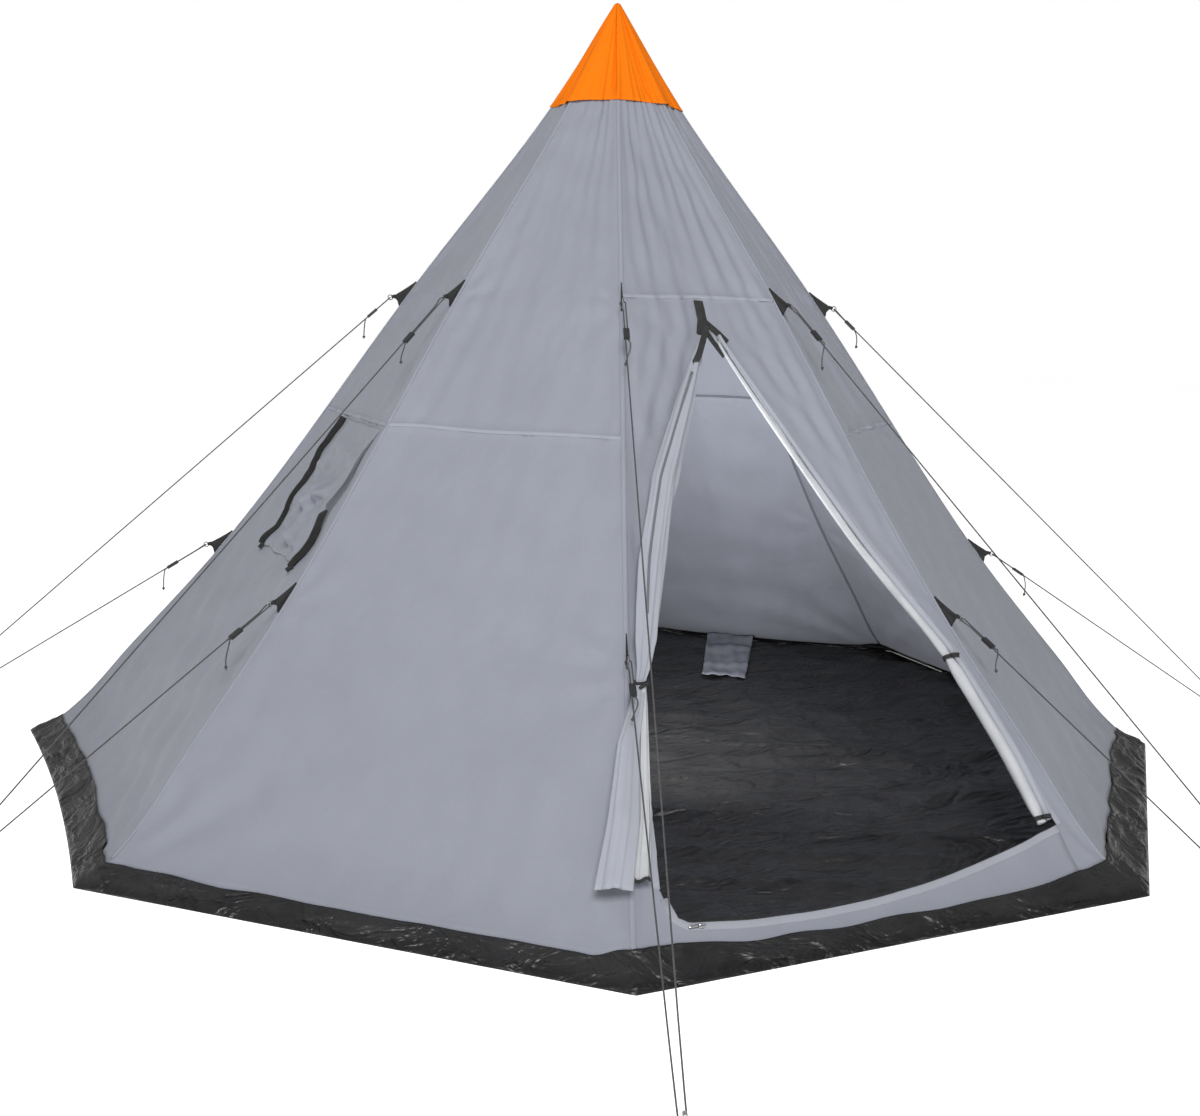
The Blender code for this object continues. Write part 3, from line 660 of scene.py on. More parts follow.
def main_leg(corner, height):
    """From the ring down one side of the eye, through the runner and on to the peg's side."""
    start, down, sideways = line_frame(corner, height)
    turn = ring_turn(start, down, sideways, -1)
    closing = []
    for distance in (0.008, 0.016, 0.024, 0.032):
        share = 1 - smooth(distance / 0.034)
        closing.append(start + down * distance - sideways * (BORE_SPACING * share))
    leg = leg_points(corner, height, start)
    straight = [start + (leg[0] - start) * t for t in np.linspace(0, 1, 8)[1:-1]]
    return np.array([*turn, *closing, *straight, *leg])


def make_guy_line(corner):
    """One cord from the upper ring, round the peg and back up to the lower ring."""
    name = CORNERS[corner]
    foot, away, sideways = peg_frame(corner)
    upper, lower = main_leg(corner, "upper"), main_leg(corner, "lower")
    turns = math.pi / 2 - np.linspace(0, math.pi, 11)
    across, side = PEG_LOOP_RADIUS * np.cos(turns), PEG_LOOP_RADIUS * np.sin(turns)
    loop = foot + away * across[:, None] + sideways * side[:, None] + UP * PEG_LOOP_HEIGHT
    points = np.concatenate([upper, loop, lower[::-1]])
    cord = cord_curve("guy_cord_" + name, points)
    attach(cord, "root")
    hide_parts("guy_line_" + name)


def make_return(corner, height):
    """The cord's other end: back from the ring to the runner, where it ends in a hanging tail."""
    name = f"{height}_{CORNERS[corner]}"
    start, down, sideways = line_frame(corner, height)
    spot = RUNNER_SPOTS[corner][LEVELS.index(height)]
    drop = TAIL_DROPS[corner][LEVELS.index(height)]
    bore = BORE_SPACING * sideways
    turn = ring_turn(start, down, sideways, 1)
    run = [start + bore + down * d for d in np.linspace(0.008, spot + 0.026, 9)]
    bend = run[-1]
    # The tail leaves the runner along the line and then hangs
    tail = []
    for t in np.linspace(0, 1, 14)[1:]:
        reach = 0.020 * (1 - math.exp(-3 * t))
        fall = drop * max(0.0, t - 0.12) ** 1.15
        sway = 0.006 * math.sin(5 * t + corner)
        tail.append(bend + down * reach * 0.6 + sideways * sway - UP * fall)
    points = np.array([*turn, *run, *tail])
    patch = tube_patch(points, CORD_RADIUS * 0.92, 8, hint=(0.31, 0.17, 0.05))
    cord = add_mesh("guy_tail_" + name, [patch], guy_cord)
    body = f"runner_{name}"
    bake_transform(cord)
    knot = make_knot("tail_knot_" + name, points[-2], points[-1] - points[-3])
    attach(knot, body)


def make_knot(name, centre, direction):
    """An overhand knot: a trefoil of cord drawn up tight."""
    turns = np.linspace(0, math.tau, 33)[:-1]
    across = np.sin(turns) + 2 * np.sin(2 * turns)
    up = np.cos(turns) - 2 * np.cos(2 * turns)
    local = KNOT_SIZE * np.stack([across, up, -1.3 * np.sin(3 * turns)], -1)
    axis = unit(np.asarray(direction))
    across = unit(np.cross(axis, (0.3, 0.9, 0.2)))
    path = centre + local @ np.array((across, np.cross(axis, across), axis))
    along = unit(np.roll(path, -1, 0) - np.roll(path, 1, 0))
    side = unit(np.cross(along, unit(path - centre)))
    patch = closed_tube(path, side, np.cross(side, along), CORD_RADIUS * 0.8)
    return add_mesh(name, [patch], guy_cord)


for k in range(SIDES):
    make_guy_line(k)
    for end in LEVELS:
        make_return(k, end)

# ---- Canopy ----

SEAM_HEIGHT = 1.14
DOOR_SEAM_HEIGHT = 1.535
REAR_SEAM_HEIGHT = 1.175
SEAM_HALF = 0.0065
FOLD_DEPTHS = (0.0045, 0.0040, 0.0035, 0.0035, 0.0035, 0.0035, 0.0030, 0.0034)
TIE_HEIGHT = 0.565
WALL_CRUMPLE = (1.2, 1.8, 1.5, 1.3, 1.3, 1.3, 2.5, 1.1)


def hem_dip(side, s):
    """How far the hem hangs below its even height: the groundsheet is sewn on unevenly."""
    if side == 0:
        x = s * half_width(WALL_BOTTOM)
        middle = 0.019 * (1 - np.clip(np.abs(x) / DOOR_FOOT[0], 0, 1) ** 4)
        return middle - 0.012 * smooth((x - DOOR_FOOT[0]) / 0.13)
    if side == 1:
        return -0.012 * (1 - smooth((s - 0.6) / 0.4))
    if side == 6:
        return 0.011 * smooth((s - 0.84) / 0.03)
    if side == 7:
        return (0.011 + 0.007 * smooth((s + 1) / 0.6)) * (1 - smooth((s - 0.86) / 0.14))
    ends = smooth((np.clip(np.abs(s), 0, 1) - 0.8) / 0.2)
    return (0.022 if side == 3 else 0.008) * (1 - ends)


def seam_height(side):
    if side == 0:
        return DOOR_SEAM_HEIGHT
    return REAR_SEAM_HEIGHT if 2 <= side <= 5 else SEAM_HEIGHT


def fan(side, s, z, corner_s, height, strength, reach, spokes, fade=0.05):
    """Folds that spread from a point on one of the wall's ridges."""
    across = half_width(z) * np.abs(s - corner_s)
    rise = slope_length(z) - slope_length(np.array(height))
    distance = np.hypot(rise, across)
    turn = np.arctan2(rise, across + 1e-6)
    wave = np.cos(spokes * turn + side + 0.4 * np.sin(distance * 9 + side))
    return strength * np.exp(-distance / reach) * wave * smooth(distance / fade)


def wall_relief(side, s, z):
    """How far the cloth stands out of its plain shape: billows, folds from the peak, puckers."""
    half = half_width(z)
    across, up = s * half, slope_length(z)
    from_ridge = half * (1 - np.abs(s))
    calm = smooth(from_ridge / 0.05)
    billow = 0.0035 * ripple(across, up * 0.5, 0.55, 10 + side)
    high = 0.25 + 0.75 * smooth((z - 0.55) / 0.9)
    lean = s * 0.5 + 0.02 * ripple(s, up, 0.9, 20 + side)
    folds = FOLD_DEPTHS[side] * high * ripple(lean, up * 0.05, 0.12, 30 + side)
    broad = 0.0022 * ripple(across + 0.2 * up, up * 0.6, 0.13, 40 + side)
    patchy = 0.5 + 0.5 * ripple(across, up, 0.4, 46 + side)
    crumple = WALL_CRUMPLE[side] * (broad + 0.0012 * ripple(across, up, 0.055, 45 + side) * patchy)
    low = np.exp(-(z - WALL_BOTTOM) / 0.09) * smooth((from_ridge + 0.02) / 0.06)
    hem = 0.0022 * low * ripple(across, up * 0.4, 0.24, 50 + side)
    near_seam = np.exp(-(((z - seam_height(side)) / 0.03) ** 2))
    puckers = 0.0007 * near_seam * ripple(across, up * 0.3, 0.03, 60 + side)
    edge_puckers = 0.0020 * np.exp(-from_ridge / 0.05) * ripple(across * 0.4, up, 0.06, 65 + side)
    pulls = 0
    for end in (-1, 1):
        for top in (UPPER_FIN_TOP - 0.06, 0.64):
            pulls = pulls + fan(side, s, z, end, top, 0.0065, 0.15, 6)
        pulls = pulls + fan(side, s, z, end, 0.03, 0.0165, 0.27, 11, 0.17)
    if side == 7:
        pulls = pulls + fan(side, s, z, 1, TIE_HEIGHT, 0.0100, 0.22, 7)
    if side == 0:
        left, right = smooth((-s - 0.05) / 0.2), smooth((s - 0.05) / 0.2)
        from_edge = np.abs(across) - door_edge(z)
        along_edge = np.sin(from_edge * 95 + 1.5 * ripple(across, up, 0.8, 67))
        where = (1.5 * left + right) * high * smooth(from_ridge / 0.12)
        pulls = pulls + 0.0032 * along_edge * where
        pulls = pulls + left * fan(side, s, z, -1, TIE_HEIGHT, 0.0060, 0.16, 7)
        # The sill under the doorway hangs flat
        beside = smooth((np.abs(across) - DOOR_FOOT[0] - 0.01) / 0.06)
        calm = calm * (1 - 0.85 * (1 - beside) * (1 - smooth((z - 0.16) / 0.06)))
    held = 0.35 + 0.65 * smooth((z - WALL_BOTTOM) / 0.09)
    return calm * (billow + folds + held * (crumple + pulls) + edge_puckers) + hem + puckers


def on_cloth(side, x, z, lift=0.0):
    """Points on a wall's wrinkled cloth, through level positions x and heights z."""
    s = x / half_width(z)
    return wall_point(side, s, z, wall_relief(side, s, z) + lift)


def seam_lift(side, z):
    """A flat-felled seam across the wall stands a little proud."""
    return 0.0012 * (np.abs(z - seam_height(side)) < SEAM_HALF)


def canopy_rows():
    """The heights of the canopy's rows: close by the seams, and one at each opening's edge."""
    even = WALL_BOTTOM + (WALL_TOP - WALL_BOTTOM) * np.linspace(0, 1, 112) ** 1.12
    special = [DOOR_FOOT[1], DOOR_KNEE[1], DOOR_PEAK, *WINDOW_Z]
    for height in (SEAM_HEIGHT, REAR_SEAM_HEIGHT, DOOR_SEAM_HEIGHT):
        special += [height + step for step in (-0.0078, -0.0062, 0.0062, 0.0078)]
    even = [z for z in even if min(abs(z - t) for t in special) > 0.006]
    return np.array(sorted([*even, *special]))


ROWS = canopy_rows()


def cloth_patch(side, x, z, keep=None, hang=True):
    """A patch of a wall through level positions x and heights z, with its wrinkles and hem."""
    s = x / half_width(z)
    lift = wall_relief(side, s, z) + seam_lift(side, z)
    if hang:
        z = z - hem_dip(side, s) * (1 - smooth((z - WALL_BOTTOM) / 0.06))
    uv = np.stack(np.broadcast_arrays(x + side * 3.0, slope_length(z)), -1)
    return grid_patch(wall_point(side, s, z, lift), keep=keep, uv=uv)


def spread_columns(count, tight=0.008):
    """Shares from 0 to 1, with one column close to each end."""
    return np.concatenate([[0.0, tight], np.linspace(0, 1, count)[1:-1], [1 - tight, 1.0]])


def plain_wall(side):
    z = ROWS[:, None]
    x = (2 * spread_columns(58) - 1) * half_width(z)
    return [cloth_patch(side, x, z)]


def window_wall(side):
    z = ROWS[:, None]
    half = half_width(z)
    held = half_width(np.minimum(z, WINDOW_Z[1]))
    left, right = (edge / held * half for edge in WINDOW_X)
    before, after = spread_columns(18, 0.02), spread_columns(16, 0.02)
    inside = left + (right - left) * np.linspace(0, 1, 22)[1:-1]
    x = np.concatenate([-half + (left + half) * before, inside, right + (half - right) * after], 1)
    in_rows = (ROWS[:-1] > WINDOW_Z[0] - 0.001) & (ROWS[:-1] < WINDOW_Z[1] - 0.001)
    columns = np.arange(x.shape[1] - 1)
    in_columns = (columns >= len(before) - 1) & (columns < x.shape[1] - len(after))
    return [cloth_patch(side, x, z, ~(in_rows[:, None] & in_columns[None, :]))]


def door_edge(z):
    """Half the doorway's width at height z: 0 above its peak, and straight down below its feet."""
    xs = (DOOR_FOOT[0], DOOR_FOOT[0], DOOR_KNEE[0], 0.0, 0.0)
    return np.interp(z, (0.0, DOOR_FOOT[1], DOOR_KNEE[1], DOOR_PEAK, PEAK), xs)


def sill_top(x):
    across = x - SILL_LOW[0]
    arc = SILL_LOW[1] + SILL_SLOPE * (SILL_RADIUS - np.sqrt(SILL_RADIUS**2 - across**2))
    corner_x, corner_z = np.array(SILL_LEFT_CORNER).T
    return np.where(x < corner_x[-1], np.interp(x, corner_x, corner_z), arc)


def door_wall(side):
    """The door's wall: its left side, its right side and the sill between them."""
    z = ROWS[:, None]
    half, edge = half_width(z), door_edge(z)
    shares = spread_columns(30, 0.01)
    left = -half + (half - edge) * shares
    sill_rows = ROWS[ROWS <= DOOR_FOOT[1] + 1e-9]
    x = np.linspace(-DOOR_FOOT[0], DOOR_FOOT[0], 61)[None, :]
    share = ((sill_rows - WALL_BOTTOM) / (DOOR_FOOT[1] - WALL_BOTTOM))[:, None]
    bottom = WALL_BOTTOM - hem_dip(side, x / half_width(WALL_BOTTOM))
    sill_z = bottom + (sill_top(x) - bottom) * share
    sill = cloth_patch(side, np.broadcast_to(x, sill_z.shape), sill_z, hang=False)
    return [cloth_patch(side, left, z), cloth_patch(side, -left[:, ::-1], z), sill]


def make_canopy():
    patches = []
    for side in range(SIDES):
        wall = {0: door_wall, WINDOW_SIDE: window_wall}.get(side, plain_wall)
        patches += wall(side)
    canopy = add_mesh("canopy", patches, canopy_cloth, weld=0.00003)
    thicken(canopy, CLOTH)
    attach(canopy, "root")
    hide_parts(*("wall_" + name for name in WALLS))
    return canopy


canopy = make_canopy()

# Where the cap folds in, as twice the wall's number plus the place across it, with the fold's width
CAP_VALLEYS = ((14.80, 0.10), (0.45, 0.12), (3.7, 0.12), (6.2, 0.10), (9.1, 0.14), (11.6, 0.10))


def make_cap():
    """The orange peak: a gathered cone over the tops of the walls, with a turned-up hem."""
    s_steps = np.linspace(-1, 1, 41)[:-1]
    share = np.linspace(0, 1, 46) ** 0.9
    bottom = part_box("peak_cap")[0].z
    columns = []
    for side in range(SIDES):
        for s in s_steps:
            angle = corner_angle(side) + (s + 1) * HALF_ANGLE
            u, v = math.cos(angle), math.sin(angle)
            hem = bottom + 0.003 * float(ripple(u, v, 0.8, 71))
            z = hem + (PEAK - 0.004 - hem) * share
            depth = (1 - share) ** 0.6
            folds = 0.0055 * depth * ripple(u + 0.03 * share, v, 0.42, 72, 8)
            fine = 0.0016 * depth * ripple(u, v + 0.1 * share, 0.16, 73, 8)
            for place, width in CAP_VALLEYS:
                gap = ((side * 2 + s - place + SIDES) % (2 * SIDES) - SIDES) / width
                ridge, valley = math.exp(-((gap - 1.6) ** 2)), math.exp(-(gap**2))
                folds = folds + depth * (0.006 * ridge - 0.016 * valley)
            room = -0.0045 - 0.012 * smooth((z - WALL_TOP) / 0.03)
            tight = -0.002 * np.exp(-(((z - hem - 0.016) / 0.004) ** 2))
            under = wall_relief(side, s, np.minimum(z, WALL_TOP)) * (1 - share) ** 2
            lift = under + 0.0075 + np.maximum(folds + fine + tight, room)
            columns.append(wall_point(side, s, z, lift))
    points, faces, uv = grid_patch(np.stack(columns, 1), closed=True)
    rows, count = points.shape[:2]
    last = (rows - 1) * count
    closing = [(last + j, last + (j + 1) % count, rows * count) for j in range(count)]
    points = np.concatenate([points.reshape(-1, 3), [[0, 0, PEAK + 0.0005]]])
    uv = np.concatenate([uv.reshape(-1, 2), np.zeros((1, 2))])
    faces = [*map(tuple, faces), *closing]
    cap = add_mesh("cap", [(points, faces, uv)], cap_cloth)
    thicken(cap, CLOTH)
    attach(cap, "root")
    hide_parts("peak_cap")
    return cap


cap = make_cap()

# ---- Ridge seams and guy patches ----


def across_ridge(corner, distance, z, lift):
    """A point at a distance from a ridge along its walls: negative is on the wall before it."""
    share = abs(distance) / half_width(z)
    if distance < 0:
        return wall_point((corner - 1) % SIDES, 1 - share, z, lift)
    return wall_point(corner, share - 1, z, lift)


def ridge_strip(corner, z, half, low, high, seed):
    """A folded strip over a ridge: its edges stand at low and its fold at high off the walls."""
    up = slope_length(z)
    uneven = ripple(up, 0 * up, 0.05, seed) * abs(high) / 6
    ring = []
    for distance, lift in (
        (-half, low),
        (-half + 0.0008, high * 0.8),
        (-0.0022, high + 0.0005),
        (0.0022, high + 0.0005),
        (half - 0.0008, high * 0.8),
        (half, low),
        (0.0005, low),
        (-0.0005, low),
    ):
        sway = np.where(abs(distance) > 0.003, 1.0, 0.5)
        ring.append(across_ridge(corner, distance, z, lift + uneven * sway))
    return loft_patch(np.stack(ring, 1))


def cross_seam(side, height, lift, width, facing):
    """The flat seam across a wall at a height, on its outer face (facing 1) or its inner (-1)."""
    s = np.linspace(-0.985, 0.985, 90)
    z = height + 0.0022 * ripple(s * half_width(height), 0 * s, 0.5, 140 + side)
    path = wall_point(side, s, z, wall_relief(side, s, z) + seam_lift(side, z) + lift)
    outward, _ = wall_axes(side)
    down = unit(wall_point(side, 0, height - 0.04) - wall_point(side, 0, height + 0.04))
    normal = unit(outward - down * (outward @ down)) * facing
    return strap(path, np.broadcast_to(normal, path.shape), width, 0.0010)


def make_ridge_seams():
    z = np.linspace(WALL_BOTTOM - 0.002, 2.158, 170)
    outer = [ridge_strip(k, z, 0.0085, 0.0002, 0.0017, 80 + k) for k in range(SIDES)]
    crossing = [cross_seam(side, seam_height(side), 0.0006, 0.012, 1) for side in range(SIDES)]
    cross_seams = add_mesh("cross_seams", crossing, cross_seam_cloth)
    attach(cross_seams, "root")
    # The inner seams are darker grey: painted seam shadow
    inner_z = np.linspace(WALL_BOTTOM + 0.004, 2.13, 90)
    inner = [ridge_strip(k, inner_z, 0.0075, -0.0016, -0.0045, 90 + k) for k in range(SIDES)]
    for side in range(1, SIDES):
        inner.append(cross_seam(side, seam_height(side) - 0.004, -0.0016, 0.011, -1))
    seams = add_mesh("ridge_seams", outer, seam_cloth)
    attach(seams, "root")
    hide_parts(*("ridge_seam_" + name for name in CORNERS))
    inner_seams = add_mesh("inner_seams", inner, painted_shade_cloth)
    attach(inner_seams, "root")


def fin_patch(corner, height):
    """A triangle of folded webbing that stands out of the ridge, with a notched lower edge."""
    tip, down, out, side = fin_frame(corner, height)
    rows = []
    for v in np.linspace(0.02, 1, 12):
        row = []
        for u in np.linspace(0, 1, 7):
            reach = FIN_REACH * (0.10 + 0.90 * v**1.15) * u
            notch = 0.010 * v**4 * math.sin(math.pi * u) ** 2
            wave = 0.0022 * math.sin(2.5 * math.pi * u + corner) * v
            along = FIN_LENGTH * v * (1 - 0.08 * u) - notch
            row.append(tip + down * along + out * (reach + 0.0006) + side * wave)
        rows.append(row)
    front = np.array(rows)
    half = side * 0.0013
    return loft_patch(np.concatenate([front + half, (front - half)[:, ::-1]], 1))


def fin_loop(corner, height):
    """The webbing loop from the patch's outer corner round the ring."""
    tip, down, out, side = fin_frame(corner, height)
    centre = ring_centre(corner, height)
    start = tip + down * (FIN_LENGTH * 0.80) + out * (FIN_REACH * 0.78)
    away = unit(centre - start)
    near = centre - away * (RING_RADIUS - 0.0006)
    path = [start + side * 0.0016, near - away * 0.006 + side * 0.0026]
    for turn in np.linspace(-math.pi / 2, math.pi / 2, 9):
        path.append(near + 0.0030 * (away * math.cos(turn) - side * math.sin(turn)))
    path = np.array([*path, near - away * 0.006 - side * 0.0026, start - side * 0.0016])
    across = np.broadcast_to(unit(np.cross(side, away)), path.shape)
    normal = unit(np.cross(along_path(path), across))
    return loft_patch(swept(path, across, normal, strap_section(0.010, 0.0009)))


def make_guy_patches():
    """The black patches on the ridges, with the rings that the lines are tied to."""
    fins, rings = [], []
    for k in range(SIDES):
        for height in LEVELS:
            fins += [fin_patch(k, height), fin_loop(k, height)]
            _, down, out, side = fin_frame(k, height)
            turns = np.linspace(0, math.tau, 25)[:-1, None]
            outs = down * np.cos(turns) + out * np.sin(turns)
            path = ring_centre(k, height) + RING_RADIUS * outs
            rings.append(closed_tube(path, outs, np.broadcast_to(side, path.shape), RING_WIRE))
    patches = add_mesh("guy_patches", fins, black_webbing)
    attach(patches, "root")
    ring_object = add_mesh("guy_rings", rings, ring_plastic)
    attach(ring_object, "root")


make_ridge_seams()
make_guy_patches()

# ---- Groundsheet ----

BAND_COLUMNS = np.concatenate([[-1.0, -0.99], np.linspace(-1, 1, 106)[1:-1], [0.99]])


def make_band():
    """The groundsheet's raised edge, sewn over the foot of the walls."""
    low = 0.0008
    shares = np.linspace(0, 1, 15)
    columns, us = [], []
    for side in range(SIDES):
        for s in BAND_COLUMNS:
            u = (side * 2 + s) * 0.72
            top = BAND_TOP - float(hem_dip(side, s)) + 0.0012 * float(ripple(u, 0, 0.3, 101))
            z = low + (top - low) * shares
            up = slope_length(z)
            free = np.sin(math.pi * shares) ** 0.7
            streaks = creases(u * 0.7 + 0.5 * up, up * 1.3, 0.20, 103, 0.3)
            fine = creases(u * 0.6 - 0.8 * up, up * 1.4, 0.09, 104, 0.4)
            bulge = ripple(u, up * 0.3, 0.4, 105)
            hem = wall_relief(side, s, np.maximum(z, WALL_BOTTOM)) * smooth(z / WALL_BOTTOM)
            tuck = 0.0048 + 0.0016 * (shares > 0.9)
            lift = hem + tuck + free * (0.0130 * streaks + 0.0065 * fine + 0.004 * bulge)
            columns.append(wall_point(side, s, z, lift))
            us.append(np.stack([np.full_like(up, u), up], -1))
    patch = grid_patch(np.stack(columns, 1), closed=True, uv=np.stack(us, 1))
    band = add_mesh("band", [patch], band_sheet)
    thicken(band, CLOTH)
    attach(band, "root")
    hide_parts("groundsheet_band")
    return band


def floor_rise(x, y):
    """The groundsheet's creases: long ones across the doorway, with smaller ones over them."""
    along, across = 0.906 * x - 0.423 * y, 0.423 * x + 0.906 * y
    long_creases = creases(along * 0.28, across, 0.34, 111, 0.5)
    cross_creases = creases(across * 0.4 + 0.3 * along, along, 0.5, 112, 0.4)
    small = creases(along * 0.35, across, 0.15, 114, 0.6)
    swell = ripple(along * 0.4, across, 0.6, 113)
    return 0.022 * long_creases + 0.009 * cross_creases + 0.008 * small + 0.006 * (1.5 + swell)


def make_floor():
    """The groundsheet inside, with the long creases it keeps from its bag."""
    s = np.linspace(-1, 1, 49)[:-1]
    rim = np.concatenate([wall_point(side, s, 0.0) for side in range(SIDES)])
    rim = rim * (1 - 0.003 / np.linalg.norm(rim, axis=1, keepdims=True))
    shares = np.linspace(0.012, 1, 110)[:, None, None]
    flat = rim[None] * shares
    x, y = flat[..., 0], flat[..., 1]
    edge = smooth((1 - shares[..., 0]) / 0.06)
    pole = smooth((np.hypot(x, y) - 0.03) / 0.10)
    z = 0.0021 + floor_rise(x, y) * edge * pole
    patch = grid_patch(np.stack([x, y, z], -1), closed=True, uv=flat[..., :2])
    floor = add_mesh("floor_sheet", [patch], floor_sheet)
    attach(floor, "root")
    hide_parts("groundsheet_floor")
    return floor


band = make_band()
floor = make_floor()

# ---- Door ----


def door_path(z, sign, inset=0.0):
    """Points beside the doorway's side: sign is -1 on the left; inset moves into the opening."""
    return on_cloth(0, sign * (door_edge(z) - inset), z)


def wall_normals(z):
    """The door wall's outward normals at heights."""
    low, high = wall_point(0, 0, z - 0.01), wall_point(0, 0, z + 0.01)
    return unit(np.cross(np.array((1.0, 0, 0)), unit(high - low)))


BINDING = (0.020, 0.0016)
ZIP_RADIUS = 0.0016


def make_door_trim():
    """The bound edges of the doorway, with the zip's coil along them."""
    straps, coils = [], []
    z = np.linspace(DOOR_FOOT[1], DOOR_PEAK - 0.01, 90)
    normals = wall_normals(z)
    for sign in (-1, 1):
        straps.append(strap(door_path(z, sign, -0.006), normals, *BINDING))
        coils.append(tube_patch(door_path(z, sign, 0.0035), ZIP_RADIUS, 6))
    x = np.linspace(-DOOR_FOOT[0] + 0.004, DOOR_FOOT[0], 90)
    z = sill_top(x)
    s = x / half_width(z)
    relief = wall_relief(0, s, z)
    path = wall_point(0, x / half_width(z - 0.006), z - 0.006, relief)
    straps.append(strap(path, wall_normals(z), *BINDING))
    coils.append(tube_patch(wall_point(0, s, z + 0.002, relief), ZIP_RADIUS, 6))
    trim = add_mesh("door_binding", straps, sill_cloth)
    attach(trim, "root")
    zip_coil = add_mesh("door_zip", coils, black_webbing)
    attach(zip_coil, "root")


make_door_trim()

# Along the gathered leaf and its net: height, the middle's distance from the door's middle, half
# the width, half the thickness, and the turn towards the next wall
LEAF_STATIONS = np.array(
    (
        (0.175, 0.714, 0.046, 0.012, 1.0),
        (0.30, 0.648, 0.042, 0.014, 0.9),
        (0.45, 0.583, 0.030, 0.014, 0.6),
        (0.535, 0.530, 0.016, 0.013, 0.2),
        (0.565, 0.512, 0.011, 0.011, 0.1),
        (0.60, 0.494, 0.017, 0.015, 0.0),
        (0.66, 0.466, 0.028, 0.018, 0.0),
        (0.85, 0.388, 0.038, 0.022, 0.0),
        (1.05, 0.290, 0.034, 0.022, 0.0),
        (1.25, 0.155, 0.024, 0.017, 0.0),
        (1.36, 0.078, 0.014, 0.012, 0.0),
        (1.425, 0.022, 0.008, 0.008, 0.0),
    )
)
NET_STATIONS = np.array(
    (
        (0.185, 0.642, 0.020, 0.009, 0.9),
        (0.30, 0.596, 0.014, 0.010, 0.7),
        (0.45, 0.544, 0.011, 0.010, 0.4),
        (0.52, 0.520, 0.009, 0.009, 0.2),
        (0.565, 0.505, 0.006, 0.008, 0.1),
    )
)


def gathered(stations, rows, turns, columns, depth, seed, lift, core=0.42):
    """A gathered sheet: it wraps round itself and its outer turn falls in soft uneven folds."""
    z = np.linspace(stations[0, 0], stations[-1, 0], rows)
    x, half, thick, turn = (np.interp(z, stations[:, 0], stations[:, k]) for k in (1, 2, 3, 4))
    angle = np.linspace(0, turns * math.tau, columns)
    share = angle / angle[-1]
    rings = []
    for i in range(rows):
        outward = level(-math.pi / 2 - HALF_ANGLE * turn[i])
        along = np.array((-outward[1], outward[0], 0))
        phase = angle - 0.25 * math.pi + 0.25 * math.sin(5 * z[i] + seed)
        across, out = np.cos(phase), np.sin(phase)
        folds = (
            0.50 * np.sin(5 * phase + 2.2 * math.sin(4.1 * z[i] + seed))
            + 0.35 * np.sin(9 * phase - 3.5 * z[i] + seed)
            + 0.22 * np.sin(14 * phase + 6.0 * z[i])
        )
        face = np.where(out > -0.2, 1.0, 0.4)
        size = 0.35 + 0.65 * half[i] / stations[:, 2].max()
        reach = core + (1 - core) * share**0.8
        bump = depth * size * folds * face * reach
        s = -x[i] / half_width(z[i])
        middle = wall_point(0, s, z[i]) + outward * (1.4 * thick[i] + 0.010 + 0.12 * half[i] + lift)
        wide = half[i] * across * reach + bump * across
        deep = thick[i] * out * reach + bump * out
        sag = 0.004 * np.sin(3 * phase + seed) * (i < rows * 0.12)
        rings.append(middle + along * wide[:, None] + outward * deep[:, None] + UP * sag[:, None])
    return np.array(rings)


LEAF_ROWS, LEAF_TURNS, LEAF_COLUMNS = 120, 2.6, 150
NET_ROWS = 50
# The leaf's zip runs along its outermost turn at the front: its angle there and its rows
LEAF_ZIP_ANGLE = 15.27
LEAF_ZIP_ROWS = slice(52, 110)


def loop_round(ring, grow):
    """A closed loop round a ring of points, larger than it by a factor."""
    middle = ring.mean(0)
    loop = middle + (ring - middle) * grow
    return np.concatenate([loop, loop[:1]]), middle


def toggle_patch(middle, axis, half, radius, swell, hint):
    """A toggle: a short bar, thicker in its middle."""
    path = middle + axis * np.linspace(-half, half, 9)[:, None]
    return tube_patch(path, radius + swell * np.cos(np.linspace(-1.4, 1.4, 9)), hint=hint)


